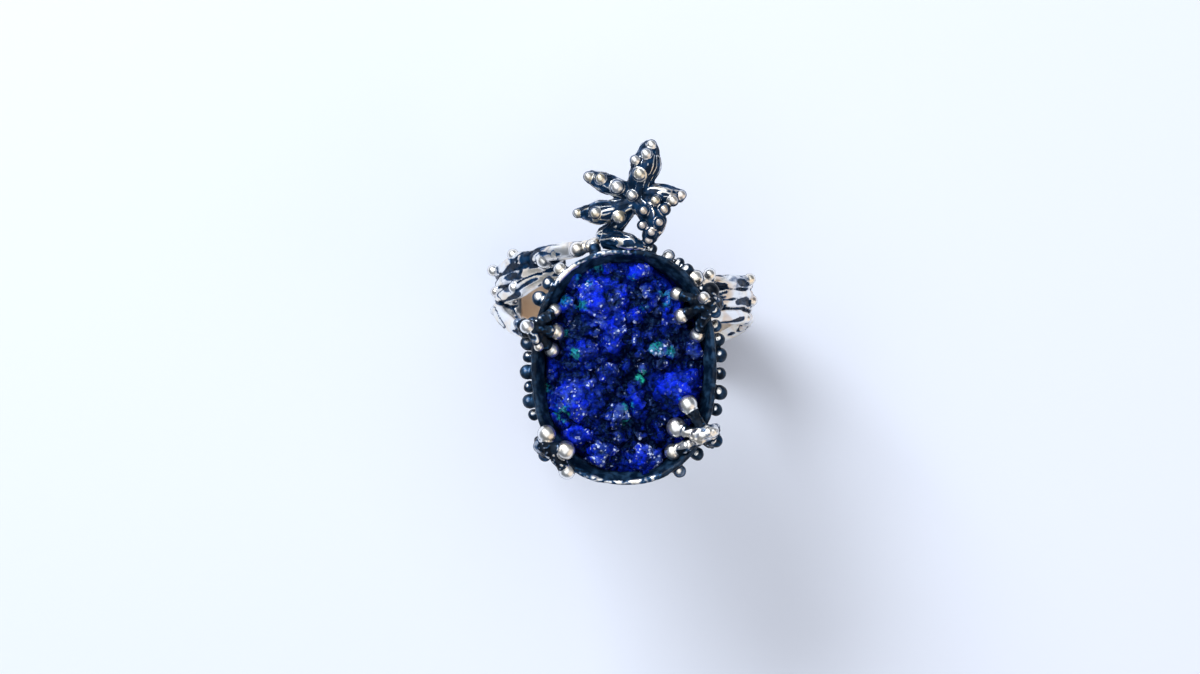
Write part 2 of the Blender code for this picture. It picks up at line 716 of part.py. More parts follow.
def make_claw(name, bed):
    direction, ends = CLAWS[name]
    ground = BVHTree.FromPolygons([v.co for v in bed.vertices], [p.vertices for p in bed.polygons])
    wall = oval(direction)
    outward = (wall - Vector((CUP_X, CUP_Y, 0))).normalized()
    foot = wall + outward * 0.75 + Vector((0, 0, CUP_RIM_Z - 2.6))
    knee = wall + outward * 0.4 + Vector((0, 0, CUP_RIM_Z + 0.75))
    parts = []
    for (x, y, z), radius in ends:
        height = z or resting_height(x, y, radius, ground)
        parts += claw_branch(foot, knee, Vector((x, y, height)), radius)
    claw = fused("drawn_claw", parts, voxel=0.12, triangles=2 * CLAW_TRIANGLES)
    clear_of(claw, cup_parts(GAP))
    clear_of(claw, stone_parts(GAP))
    clear_of(claw, band_parts(GAP))
    simplify(claw, CLAW_TRIANGLES)
    return claw


def build():
    claw_silver = new_material("claw_silver", CLAW_SILVER)
    stone = make_stone()
    cup = make_cup()
    bed = joined([stone.data, cup.data])
    finished(cup, "bezel_cup", new_material("cup_silver", CUP_SILVER))
    finished(stone, "stone", new_material("blue_stone", BLUE_STONE))
    finished(make_band(), "band", new_material("band_silver", BAND_SILVER))
    finished(make_sprig(), "sprig", new_material("sprig_silver", SPRIG_SILVER))
    for name in CLAWS:
        finished(make_claw(name, bed), name, claw_silver)
    for obj in list(WORKSHOP.objects):
        bpy.data.objects.remove(obj)


clear_scene()
RING = new_collection("lapis_ring")
WORKSHOP = new_collection("workshop")
build()
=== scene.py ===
# %% [markdown]
# # A raw blue stone in a cast silver ring
# This lesson dresses a plain solid model of a ring. The solids come from a frame that knows where
# everything is, and each visible piece is drawn again here with far more detail: a crystal crust on
# the stone, bark on the silver, polish on the high spots and black in the hollows.

# %% Load the frame
import math
import random

import bmesh
import bpy
import numpy as np
from mathutils import Matrix, Vector, noise
from mathutils.bvhtree import BVHTree


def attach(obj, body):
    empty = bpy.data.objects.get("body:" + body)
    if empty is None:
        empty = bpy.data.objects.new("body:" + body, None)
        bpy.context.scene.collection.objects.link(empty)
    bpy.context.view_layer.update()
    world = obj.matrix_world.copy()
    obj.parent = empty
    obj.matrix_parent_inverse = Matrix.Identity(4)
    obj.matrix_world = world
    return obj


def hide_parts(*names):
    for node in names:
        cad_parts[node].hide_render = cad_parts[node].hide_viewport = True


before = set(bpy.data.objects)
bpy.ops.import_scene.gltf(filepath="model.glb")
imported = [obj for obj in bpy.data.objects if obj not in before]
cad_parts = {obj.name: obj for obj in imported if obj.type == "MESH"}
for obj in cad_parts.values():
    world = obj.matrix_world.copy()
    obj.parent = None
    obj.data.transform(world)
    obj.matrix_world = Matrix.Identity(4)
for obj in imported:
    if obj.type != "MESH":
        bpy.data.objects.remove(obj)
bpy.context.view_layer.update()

print("frame:", sorted(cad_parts))

# %% [markdown]
# ## Sizes
# Jewellery is drawn in millimetres. The driving sizes are the finger hole, the twigs that lie round it
# and the oval of the cup. The finished meshes are brought to metres, with the middle of the ring's flat
# foot at the origin, which is where the frame has it.

# %% Driving sizes
METRES = 0.001
FINGER_RADIUS = 8.75
TWIG_AXIS_RADIUS = 9.65
FOOT_MIDDLE_Y = -2.4
HOLE_Z = 10.15
CUP_MIDDLE = Vector((-0.1, -5.5, 0))
CUP_HALF_WIDTH = 7.0
CUP_HALF_LENGTH = 8.95
CUP_POWER = 2.3
CUP_SHEET = 0.45
CUP_FLARE = 0.15
CUP_UNDERSIDE_Z = HOLE_Z + FINGER_RADIUS + 0.15
CUP_RIM_Z = CUP_UNDERSIDE_Z + 4.5
STONE_EDGE_Z = CUP_RIM_Z - 1.3
STONE_CROWN_Z = CUP_RIM_Z + 0.2
print("rim at", round(CUP_RIM_Z, 2), "mm")

# %% [markdown]
# ## The camera
# The photograph looks straight down on the stone from far away, so a long lens keeps the ring's sides
# from leaning. One millimetre at the rim covers 13 pixels of the 1200 pixel frame, which fixes how far
# away a 150 mm lens stands.

# %% Place the camera
FRAME_WIDTH = 1200
PIXELS_PER_MM = 13.0
LENS = 150
SENSOR = 36
VIEW_CENTRE = Vector((-1.95, -3.19))

camera_data = bpy.data.cameras.new("camera")
camera_data.lens = LENS
camera_data.sensor_width = SENSOR
camera_data.clip_start = 0.01
camera = bpy.data.objects.new("camera", camera_data)
distance = LENS / SENSOR * FRAME_WIDTH / PIXELS_PER_MM
camera.location = Vector((VIEW_CENTRE.x, VIEW_CENTRE.y - FOOT_MIDDLE_Y, CUP_RIM_Z + distance)) * METRES
bpy.context.scene.collection.objects.link(camera)
bpy.context.scene.camera = camera
print("camera stands", round(distance), "mm above the rim")

# %% [markdown]
# ## Floor and light
# Silver shows what is around it, so the light is most of its look. One very large soft lamp hangs
# overhead and the sky towards the sides is dim. Surfaces that face up are then bright and steep ones
# dark, which draws each polished ball as a bright disc with a dark edge. A smaller lamp stands like a
# window beyond the far side, and shades the stone's lumps on their near slopes. A low warm one colours
# the flanks on the right.

# %% Floor, sky and lamps

# Each lamp's place, what it looks at, its width in mm, power and colour
LAMPS = {
    "ceiling": ((-50, 60, 560), (0, 0, 20), 800, 2.25, (0.98, 0.99, 1.0)),
    "window": ((-190, 290, 310), (0, 0, 20), 210, 1.75, (0.94, 0.97, 1.0)),
    "warm": ((230, -150, 150), (0, 0, 15), 300, 0.26, (1.0, 0.82, 0.64)),
}
SKY_COLOUR = (0.80, 0.88, 1.0, 1)
SKY_STRENGTH = 0.22


def area_lamp(name, place, aim, size, power, colour):
    lamp_data = bpy.data.lights.new(name, "AREA")
    lamp_data.size = size * METRES
    lamp_data.energy = power
    lamp_data.color = colour
    lamp = bpy.data.objects.new(name, lamp_data)
    lamp.location = Vector(place) * METRES
    lamp.rotation_euler = (Vector(aim) - Vector(place)).to_track_quat("-Z", "Y").to_euler()
    bpy.context.scene.collection.objects.link(lamp)


for lamp_name, lamp_facts in LAMPS.items():
    area_lamp(lamp_name, *lamp_facts)

world = bpy.data.worlds.new("sky")
world.use_nodes = True
background = world.node_tree.nodes["Background"]
background.inputs["Color"].default_value = SKY_COLOUR
background.inputs["Strength"].default_value = SKY_STRENGTH
bpy.context.scene.world = world
bpy.context.scene.view_settings.view_transform = "Standard"

floor_mesh = bpy.data.meshes.new("floor")
floor_shape = bmesh.new()
bmesh.ops.create_grid(floor_shape, x_segments=1, y_segments=1, size=1.5)
floor_shape.to_mesh(floor_mesh)
floor_shape.free()
floor = bpy.data.objects.new("floor", floor_mesh)
bpy.context.scene.collection.objects.link(floor)
print("lamps:", [lamp.name for lamp in bpy.data.lights])

# %% [markdown]
# ## Shader maths that reads like maths
# A material is a tree of nodes, and long trees are hard to read. The class below wraps one output
# socket. Adding or multiplying two wrapped sockets adds the Math node that does it, and `node` makes
# any other node from its type, its settings and the values of its sockets.

# %% A class for sockets


class Value:
    """An output socket that can be used in sums."""

    def __init__(self, material, socket):
        self.material = material
        self.socket = socket

    def math(self, operation, other):
        return self.material.node("ShaderNodeMath", {"operation": operation}, {0: self, 1: other})

    def __add__(self, other):
        return self.math("ADD", other)

    def __mul__(self, other):
        return self.math("MULTIPLY", other)

    def __sub__(self, other):
        return self.math("SUBTRACT", other)

    def __rsub__(self, other):
        return self.material.node("ShaderNodeMath", {"operation": "SUBTRACT"}, {0: other, 1: self})

    __radd__ = __add__
    __rmul__ = __mul__

    def output(self, name):
        """Another output of the same node."""
        return Value(self.material, self.socket.node.outputs[name])

    def ramp(self, low, high):
        """0 below low, 1 above high and a smooth step between them."""
        settings = {"interpolation_type": "SMOOTHSTEP"}
        return self.material.node("ShaderNodeMapRange", settings, {"Value": self, 1: low, 2: high})


class Finish:
    """A material whose nodes are made by one method."""

    def __init__(self, name):
        self.made = bpy.data.materials.new(name)
        self.made.use_nodes = True
        self.tree = self.made.node_tree
        self.shader = self.tree.nodes["Principled BSDF"]

    def node(self, kind, settings=None, inputs=None, output=0):
        new = self.tree.nodes.new(kind)
        for name, value in (settings or {}).items():
            setattr(new, name, value)
        for key, value in (inputs or {}).items():
            self.feed(new.inputs[key], value)
        return Value(self, new.outputs[output])

    def feed(self, socket, value):
        if isinstance(value, Value):
            self.tree.links.new(value.socket, socket)
        else:
            socket.default_value = value

    def attribute(self, name):
        return self.node("ShaderNodeAttribute", {"attribute_name": name}, output="Fac")

    def place(self):
        return self.node("ShaderNodeTexCoord", output="Object")

    def vector(self, operation, first, others, output=0):
        """One step of sums with vectors."""
        return self.node("ShaderNodeVectorMath", {"operation": operation}, {0: first, **others}, output)

    def noise(self, size, detail=3.0, stretch=(1, 1, 1)):
        """Cloudy noise whose blobs are that many millimetres across."""
        scale = [1 / (size * METRES * side) for side in stretch]
        where = self.vector("MULTIPLY", self.place(), {1: scale})
        return self.node("ShaderNodeTexNoise", None, {"Vector": where, "Scale": 1.0, "Detail": detail})

    def blend(self, factor, low, high):
        """The colour low where factor is 0, and high where it is 1."""
        inputs = {0: factor, 6: low, 7: high}
        return self.node("ShaderNodeMix", {"data_type": "RGBA"}, inputs, output=2)

    def bump(self, height, depth):
        """Relief that only the light sees, that many millimetres deep."""
        inputs = {"Height": height, "Distance": depth * METRES, "Strength": 1.0}
        return self.node("ShaderNodeBump", None, inputs)

    def set(self, **sockets):
        for name, value in sockets.items():
            self.feed(self.shader.inputs[name.replace("_", " ")], value)
        return self.made


floor_finish = Finish("floor_paper").set(Base_Color=(0.76, 0.81, 0.93, 1), Roughness=0.7)
floor_mesh.materials.append(floor_finish)
print("floor finish:", floor_finish.name)

# %% [markdown]
# ## Making shapes
# The ring's silver was modelled in wax: rods pressed together with balls on them. Here a rod is a curve
# with a radius at each point, a ball is an icosphere, and one voxel remesh melts them into a single
# skin, as casting does. The remesh also gives even, small faces that can take fine relief.

# %% Balls, twigs and skins


def to_mesh(shape, name):
    mesh = bpy.data.meshes.new(name)
    shape.to_mesh(mesh)
    shape.free()
    return mesh


def loft(rings, name):
    """A closed solid through rings that have the same number of points."""
    shape = bmesh.new()
    rings = [[shape.verts.new(place) for place in ring] for ring in rings]
    for low, high in zip(rings, rings[1:]):
        for index in range(len(low)):
            after = (index + 1) % len(low)
            shape.faces.new((low[index], low[after], high[after], high[index]))
    shape.faces.new(rings[0][::-1])
    shape.faces.new(rings[-1])
    bmesh.ops.recalc_face_normals(shape, faces=shape.faces)
    return to_mesh(shape, name)


def ball(centre, radius):
    shape = bmesh.new()
    bmesh.ops.create_icosphere(shape, subdivisions=4, radius=radius, matrix=Matrix.Translation(centre))
    return to_mesh(shape, "ball")


def evaluated_mesh(obj):
    """The object's mesh with its modifiers applied. The object itself is removed."""
    bpy.context.view_layer.update()
    graph = bpy.context.evaluated_depsgraph_get()
    mesh = bpy.data.meshes.new_from_object(obj.evaluated_get(graph))
    bpy.data.objects.remove(obj)
    return mesh


def twig(points, radii):
    """A smooth round rod through the points, with its own radius at each."""
    curve = bpy.data.curves.new("twig", "CURVE")
    curve.dimensions = "3D"
    curve.bevel_depth = 1.0
    curve.bevel_resolution = 4
    curve.resolution_u = 6
    curve.use_fill_caps = True
    spline = curve.splines.new("BEZIER")
    spline.bezier_points.add(len(points) - 1)
    for place, point, radius in zip(spline.bezier_points, points, radii):
        place.co = point
        place.radius = radius
        place.handle_left_type = place.handle_right_type = "AUTO"
    obj = bpy.data.objects.new("twig", curve)
    bpy.context.scene.collection.objects.link(obj)
    return evaluated_mesh(obj)


def skin(parts, voxel):
    """One mesh over overlapping parts, made of faces about as wide as a voxel."""
    shape = bmesh.new()
    for part in parts:
        shape.from_mesh(part)
    bmesh.ops.remove_doubles(shape, verts=shape.verts, dist=0.001)
    obj = bpy.data.objects.new("skin", to_mesh(shape, "skin"))
    bpy.context.scene.collection.objects.link(obj)
    remesh = obj.modifiers.new("melt", "REMESH")
    remesh.mode = "VOXEL"
    remesh.voxel_size = voxel
    return evaluated_mesh(obj)


print("each ball is drawn with", len(ball((0, 0, 0), 1.0).polygons), "faces")

# %% [markdown]
# ## Relief, vertex by vertex
# Fine relief is worked out for all vertices at once in arrays. Two measures drive nearly everything: how
# far a vertex stands above a smoothed copy of its surroundings, which tells crests from hollows, and how
# near it is to a ball, which stays round and polished.

# %% Arrays in and out of a mesh


class Relief:
    """A mesh's vertices as arrays, for moving them and for painting values on them."""

    def __init__(self, mesh):
        self.mesh = mesh
        self.count = len(mesh.vertices)
        self.edges = np.empty(len(mesh.edges) * 2, dtype=np.int64)
        mesh.edges.foreach_get("vertices", self.edges)
        self.edges = self.edges.reshape(-1, 2)
        self.points = np.empty(self.count * 3)
        mesh.vertices.foreach_get("co", self.points)
        self.points = self.points.reshape(-1, 3)
        self.measure_normals()

    def measure_normals(self):
        normals = np.empty(self.count * 3)
        self.mesh.vertex_normals.foreach_get("vector", normals)
        self.normals = normals.reshape(-1, 3)

    def push(self, amount):
        """Moves each vertex along its normal, outwards where the amount is positive."""
        self.place(self.points + self.normals * amount[:, None])

    def place(self, points):
        self.points = points
        self.mesh.vertices.foreach_set("co", points.ravel())
        self.mesh.update()
        self.measure_normals()

    def softened(self, rounds, points=None):
        """The points, each moved to the middle of its neighbours that many times."""
        points = self.points if points is None else points
        here = np.concatenate([self.edges[:, 0], self.edges[:, 1]])
        there = np.concatenate([self.edges[:, 1], self.edges[:, 0]])
        neighbours = np.maximum(np.bincount(here, minlength=self.count), 1)
        for _ in range(rounds):
            sums = [np.bincount(here, points[there, axis], self.count) for axis in range(points.shape[1])]
            points = np.stack(sums, axis=1) / neighbours[:, None]
        return points

    def even_out(self, balls=(), rounds=2):
        """Takes the steps out of a melted skin and makes its balls truly round."""
        points = self.softened(rounds)
        for centre, radius in balls:
            away = points - np.array(centre)
            distance = np.linalg.norm(away, axis=1)
            on_ball = (np.abs(distance / radius - 0.97) < 0.07) & (distance > 0)
            points[on_ball] = np.array(centre) + away[on_ball] * (radius / distance[on_ball])[:, None]
        self.place(points)

    def standing(self, rounds):
        """How far each vertex stands above its smoothed surroundings, negative in a hollow."""
        return ((self.points - self.softened(rounds)) * self.normals).sum(axis=1)

    def paint(self, name, values):
        layer = self.mesh.attributes.new(name, "FLOAT", "POINT")
        layer.data.foreach_set("value", np.clip(values, 0, 1).astype(np.float32))


def step(values, low, high):
    """0 below low, 1 above high and a smooth step between them."""
    share = np.clip((values - low) / (high - low), 0, 1)
    return share * share * (3 - 2 * share)


def near_balls(points, balls):
    """1 on the balls and 0 a little away from them."""
    near = np.zeros(len(points))
    for centre, radius in balls:
        distances = np.linalg.norm(points - np.array(centre), axis=1)
        near = np.maximum(near, 1 - step(distances / radius, 1.04, 1.25))
    return near


def cast(parts, balls, voxel):
    """A melted skin over the parts and balls, and a value that is 1 on its balls."""
    piece = Relief(skin(parts + [ball(*each) for each in balls], voxel))
    piece.even_out(balls)
    return piece, near_balls(piece.points, balls)


def cloud(points, size):
    """Smooth noise from -1 to 1 with blobs about that many millimetres wide, or one size for each axis."""
    scaled = points / np.array(size)
    return np.array([noise.noise(Vector(point)) for point in scaled])


def facets(points, size, seed=0.0):
    """Each cell of a random pattern becomes a little plane tilted its own way, like a crystal face."""
    heights = np.empty(len(points))
    for index, point in enumerate(points / size + seed):
        cell = noise.voronoi(Vector(point))[1][0]
        tilt = noise.noise_vector(cell * 7.3)
        heights[index] = (Vector(point) - cell).dot(tilt)
    return heights * size


print("a quarter of the way, a smooth step gives", step(0.25, 0.0, 1.0))

# %% [markdown]
# ## Handing over
# Each drawn piece takes the place of one solid, which is hidden. It rides on the ring's body and gets
# its own new finish.

# %% Hand a piece to the frame


def finish_piece(name, mesh, material, node):
    """Brings a drawn mesh to metres and puts it in the place of its solid."""
    mesh.transform(Matrix.Scale(METRES, 4) @ Matrix.Translation((0, -FOOT_MIDDLE_Y, 0)))
    mesh.materials.clear()
    mesh.materials.append(material)
    mesh.shade_smooth()
    piece = bpy.data.objects.new(name, mesh)
    bpy.context.scene.collection.objects.link(piece)
    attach(piece, "root")
    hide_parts(node)
    print(name, len(mesh.polygons), "faces")


print("solids to stand in for:", len(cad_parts))

# %% [markdown]
# ## The oval
# Cup and stone share one outline, an oval a little squarer than an ellipse. A superellipse gives it with
# one number: 2 is an ellipse and larger powers are squarer.

# %% Points of the oval


def oval(angle, inset=0.0):
    """The point of the cup's outline in that direction from its middle, in degrees from +X."""
    across, along = math.cos(math.radians(angle)), math.sin(math.radians(angle))
    half_width, half_length = CUP_HALF_WIDTH - inset, CUP_HALF_LENGTH - inset
    reach = abs(across / half_width) ** CUP_POWER + abs(along / half_length) ** CUP_POWER
    size = reach ** (-1 / CUP_POWER)
    return CUP_MIDDLE + Vector((across * size, along * size, 0))


def oval_directions(count):
    turns = [2 * math.pi * index / count for index in range(count)]
    stretch = CUP_HALF_LENGTH / CUP_HALF_WIDTH
    return [math.degrees(math.atan2(stretch * math.sin(turn), math.cos(turn))) for turn in turns]


def oval_solid(rows, sides):
    """A closed loft of oval rings, each with its inset from the outline and its height.

    A height may be a function of x and y, which lets a ring rise and fall.
    """
    rings = []
    for inset, height in rows:
        ring = [oval(angle, inset) for angle in oval_directions(sides)]
        for place in ring:
            place.z = height(place.x, place.y) if callable(height) else height
        rings.append(ring)
    return loft(rings, "oval")


print("the oval is", round(oval(0).x - oval(180).x, 1), "by", round(oval(90).y - oval(-90).y, 1), "mm")

# %% [markdown]
# ## Silver
# Cast silver of this kind is dipped in a solution that turns it nearly black, then polished, so only what
# the wheel reaches shines again. One painted value, `polish_and_highlight`, runs from 0 in the black
# hollows to 1 on the bright crests and steers colour, roughness and metal together; on the upward faces of
# balls, grains and crests it is also a painted highlight. The black skin isn't bare metal: as a plain dark
# coat it stays dark even where it is seen edge on. A second value, `warm`, is a painted warm reflection of
# skin and wood on polished surfaces, such as the inside of the band.

# %% The silver finish


def silver(name, tarnish_low, tarnish_high, hammered=0.010, cream=(0.93, 0.86, 0.74)):
    """Silver that is polished where the painted polish_and_highlight is 1 and has a dark coat of two tones
    elsewhere.

    Half polished silver is steel blue, and polished silver is white with patches of cream.
    Hammered is how deep the fine dents are, in millimetres.
    """
    finish = Finish(name)
    polish_and_highlight, warm = finish.attribute("polish_and_highlight"), finish.attribute("warm")
    grime = finish.noise(0.45, 4.0)
    shine = (polish_and_highlight + (grime - 0.5) * 0.30).ramp(0.25, 0.75)
    clouds = finish.noise(1.6, 2.0).ramp(0.42, 0.66)
    bright = finish.blend(clouds, (0.92, 0.92, 0.91, 1), (*cream, 1))
    # painted warm reflection: the polished colour turns tan where the painted warm value is 1
    bright = finish.blend(warm, bright, (0.74, 0.52, 0.34, 1))
    bright = finish.blend(shine.ramp(0.32, 1.08), (0.03, 0.15, 0.38, 1), bright)
    tarnish = finish.blend(finish.noise(0.7).ramp(0.40, 0.70), (*tarnish_low, 1), (*tarnish_high, 1))
    return finish.set(
        Base_Color=finish.blend(shine, tarnish, bright),
        Metallic=shine,
        Roughness=0.34 - shine * 0.03 + (grime - 0.5) * 0.10,
        Specular_IOR_Level=0.12,
        Normal=finish.bump(finish.noise(0.24, 4.0), hammered),
    )


band_silver = silver("band_silver", (0.0005, 0.008, 0.024), (0.005, 0.036, 0.100), 0.010, (0.94, 0.85, 0.70))
sprig_silver = silver("sprig_silver", (0.0005, 0.009, 0.026), (0.005, 0.034, 0.095), 0.004, (0.74, 0.66, 0.5))
claw_silver = silver("claw_silver", (0.0015, 0.004, 0.009), (0.008, 0.018, 0.036), 0.005, (0.90, 0.82, 0.70))
cup_silver = silver("cup_silver", (0.0015, 0.008, 0.021), (0.018, 0.050, 0.105), 0.035)
print("silvers:", [material.name for material in bpy.data.materials if "silver" in material.name])

# %% [markdown]
# ## The cup
# The cup is a strip of sheet bent round the stone, with a filed rim that wavers a little, and round
# grains soldered along its outer wall. The rim carries a painted highlight at its upper left and at the
# bottom, and is dull along the sides.

# %% Draw the cup

# Direction from the cup's middle in degrees, radius, and depth below the rim
GRAINS = [
    (166, 0.60, 1.5), (174, 0.46, 2.2), (183, 0.58, 1.5), (192, 0.46, 2.2), (200, 0.58, 1.5),
    (208, 0.46, 2.2), (154, 0.48, 2.2), (141, 0.60, 1.7), (132, 0.52, 2.3), (123, 0.55, 1.6),
    (104, 0.50, 1.6), (77, 0.46, 1.2), (68, 0.48, 1.4), (62, 0.44, 1.9), (57, 0.48, 1.4),
    (51, 0.60, 1.6), (45, 0.42, 1.9), (24, 0.48, 2.2), (16, 0.52, 1.5), (7, 0.56, 1.5),
    (-4, 0.50, 1.8), (-15, 0.60, 1.5), (-25, 0.50, 1.8), (-50, 0.54, 1.7), (-62, 0.50, 1.5),
]
# The grains that are well polished, by direction, and how bright
BRIGHT_GRAINS = {51: 1.0, 68: 0.55, 24: 0.4, -62: 0.5, 123: 0.9, 141: 0.3}
CUP_SIDES = 200
CUP_VOXEL = 0.104
RIM_ROUNDING = 0.13
# The way to the lamps, for grains that catch them
TO_THE_LAMPS = np.array([-0.25, 0.35, 0.90])


def rim_height(x, y):
    """The rim wavers a little, as hand-filed sheet does."""
    turn = math.atan2(y - CUP_MIDDLE.y, x - CUP_MIDDLE.x)
    return CUP_RIM_Z + 0.07 * math.sin(5 * turn) + 0.05 * math.sin(9 * turn + 1)


def grain_places():
    places = []
    for direction, radius, depth in GRAINS:
        wall = oval(direction)
        outward = (wall - CUP_MIDDLE).normalized()
        middle = wall + outward * radius * 0.8
        places.append(((middle.x, middle.y, CUP_RIM_Z - depth), radius))
    return places


def bright_grains(points):
    """1 on the well polished grains and 0 on the others."""
    bright = np.zeros(len(points))
    for (direction, _, _), grain in zip(GRAINS, grain_places()):
        bright = np.maximum(bright, BRIGHT_GRAINS.get(direction, 0) * near_balls(points, [grain]))
    return bright


def dish_mesh():
    def shoulder(x, y):
        return rim_height(x, y) - RIM_ROUNDING

    base = CUP_UNDERSIDE_Z
    inner_rim = CUP_SHEET - CUP_FLARE
    rows = [
        (0.8, base),
        (0.2, base + 0.35),
        (0.0, base + 0.9),
        (-CUP_FLARE, shoulder),
        (-CUP_FLARE + 0.1, rim_height),
        (inner_rim - 0.1, rim_height),
        (inner_rim, shoulder),
        (0.85, CUP_RIM_Z - 1.1),
        (1.1, base + 0.9),
        (1.6, base + 0.5),
    ]
    return oval_solid(rows, CUP_SIDES)


def rim_highlight(points):
    """How bright the rim is painted: a painted highlight at the upper left and at the bottom, dull along the
    sides.
    """
    turn = np.degrees(np.arctan2(points[:, 1] - CUP_MIDDLE.y, points[:, 0] - CUP_MIDDLE.x)) % 360
    upper_left = np.exp(-(((turn - 120) / 20) ** 2))
    top = 0.50 * np.exp(-(((turn - 88) / 16) ** 2))
    bottom = 0.85 * np.exp(-(((turn - 265) / 26) ** 2))
    return np.maximum(np.maximum(upper_left, top), bottom)


def draw_cup():
    grains = grain_places()
    cup, on_grain = cast([dish_mesh()], grains, CUP_VOXEL)
    dents = cloud(cup.points, (0.9, 0.9, 1.4))
    nicks = cloud(cup.points, 0.55)
    on_rim = step(cup.points[:, 2], CUP_RIM_Z - 0.30, CUP_RIM_Z - 0.10)
    cup.push(-0.07 * step(dents, -0.2, 0.6) * (1 - on_grain) + 0.05 * nicks * np.maximum(on_rim, on_grain))
    specks = 0.7 * cloud(cup.points, 1.3) + 0.5 * cloud(cup.points, 0.22)
    # the rim's polish is a painted highlight at the upper left and the bottom, with random specks
    rim = on_rim * (-0.05 + (0.78 + 1.2 * specks) * rim_highlight(cup.points) + 0.35 * specks)
    # painted highlight: a bright cap on each grain where it faces the lamps, stronger on the right side
    towards_light = cup.normals @ TO_THE_LAMPS
    right_side = 0.5 + 0.35 * step(cup.points[:, 0], -2.0, 4.0)
    outside = 0.03 + right_side * on_grain * step(towards_light, 0.72, 0.99) * (1 + 0.8 * dents)
    outside += 0.25 * step(dents, 0.2, 0.6) * (1 - on_grain)
    # the well polished grains are painted bright on their upward faces only, as a painted highlight
    outside += bright_grains(cup.points) * step(cup.normals[:, 2], 0.2, 0.7)
    cup.paint("polish_and_highlight", np.maximum(rim, outside))
    cup.paint("warm", np.zeros(cup.count))
    finish_piece("cup_with_grains", cup.mesh, cup_silver, "bezel_cup")


draw_cup()

# %% [markdown]
# ## The stone
# The rough is a crust of small blue crystals on a lumpy rock. Big lumps are convex hulls of random
# points, as broken rock is, and gravel fills the gaps between them. After the skins are melted together
# each lump still pulls its own vertices: a vertex that two lumps claim nearly equally lies in a crevice,
# and is pushed in. Tilted cells in three sizes then make the crystal faces.

# %% Lumps of the stone

# Middle of each lump from the cup's middle, its half sizes, how far it stands above the dome,
# its tone from dark 0 to vivid 1, and how much pale glitter, a painted glint, it has
LUMPS = [
    (-1.6, 5.2, 2.3, 1.95, 1.25, 0.95, 0.4), (-0.8, 2.5, 1.3, 1.6, 0.95, 0.9, 0.9),
    (1.35, 7.35, 1.2, 1.1, 0.75, 1.0, 0.3), (-1.2, 7.55, 1.0, 0.9, 0.6, 0.45, 0.4),
    (-4.05, 6.6, 0.9, 1.0, 0.45, 0.5, 0.2), (2.0, 5.5, 0.9, 1.5, 0.85, 0.35, 0.5),
    (3.6, 4.2, 1.0, 2.2, 0.8, 0.85, 0.4), (-4.2, 4.6, 1.1, 1.5, 0.6, 0.3, 0.3),
    (-3.0, 1.3, 1.25, 1.1, 0.85, 0.6, 0.3), (2.9, 1.3, 1.3, 1.0, 0.75, 0.4, 0.5),
    (3.8, -1.9, 2.35, 2.2, 1.15, 0.75, 0.1), (-3.3, -2.2, 2.5, 2.1, 1.05, 0.7, 0.45),
    (-5.4, 0.1, 0.9, 1.0, 0.45, 0.6, 0.1), (-3.5, -5.2, 1.5, 0.9, 0.6, 0.85, 0.2),
    (-1.75, -6.7, 1.4, 1.35, 0.9, 0.5, 0.9), (1.4, -7.0, 1.8, 1.5, 0.95, 0.55, 0.8),
    (2.6, -4.95, 1.1, 1.3, 0.7, 0.12, 0.0), (-0.6, -3.6, 1.2, 1.3, 0.6, 0.4, 0.7),
    (-1.1, -0.5, 1.2, 1.2, 0.75, 0.45, 0.5), (1.0, 2.1, 0.9, 1.2, 0.55, 0.3, 0.5),
    (0.9, 3.9, 0.9, 1.0, 0.65, 0.6, 0.5), (0.9, -2.2, 1.0, 1.1, 0.55, 0.7, 0.4),
    (5.3, 1.3, 0.9, 1.0, 0.4, 0.2, 0.6), (4.3, -5.5, 1.0, 0.9, 0.45, 0.5, 0.1),
    (4.7, 4.0, 0.8, 1.1, 0.35, 0.2, 0.1), (-4.9, 2.4, 0.9, 0.9, 0.4, 0.2, 0.3),
    (4.8, -4.2, 0.9, 1.0, 0.4, 0.2, 0.1), (-5.1, -4.0, 0.8, 1.1, 0.35, 0.6, 0.1),
    (-1.2, 3.8, 1.6, 1.3, 1.05, 0.9, 0.7),
]
# The lumps that are grown together into the long middle ridge, by their places in the table
RIDGE = [0, 1, 28]
SMALL_LUMP_RINGS = [(0.86, 26), (0.66, 20), (0.46, 14), (0.24, 8), (0.0, 1)]
# Green chips: middle from the cup's middle, radius, and how vivid
GREEN_CHIPS = [
    (-2.15, 7.7, 0.55, 0.5), (-3.3, 4.8, 0.45, 0.5), (-3.75, 1.0, 0.42, 0.7), (2.45, 1.55, 0.62, 0.7),
    (3.6, 1.15, 0.40, 0.5), (1.3, -0.7, 0.52, 1.0), (-4.75, -3.55, 0.58, 1.0), (-5.85, -1.7, 0.40, 0.6),
    (0.25, -3.15, 0.45, 0.6), (0.25, -4.25, 0.38, 0.5), (4.5, -2.6, 0.28, 0.4), (3.9, 5.6, 0.45, 0.4),
    (0.6, 6.9, 0.30, 0.4), (-2.7, 6.4, 0.25, 0.4), (3.1, 5.7, 0.45, 0.45), (3.35, 4.9, 0.40, 0.35),
    (-3.3, 6.9, 0.55, 0.3), (-4.5, 5.1, 0.45, 0.3), (1.5, 4.6, 0.35, 0.3), (-4.6, 2.6, 0.4, 0.3),
]
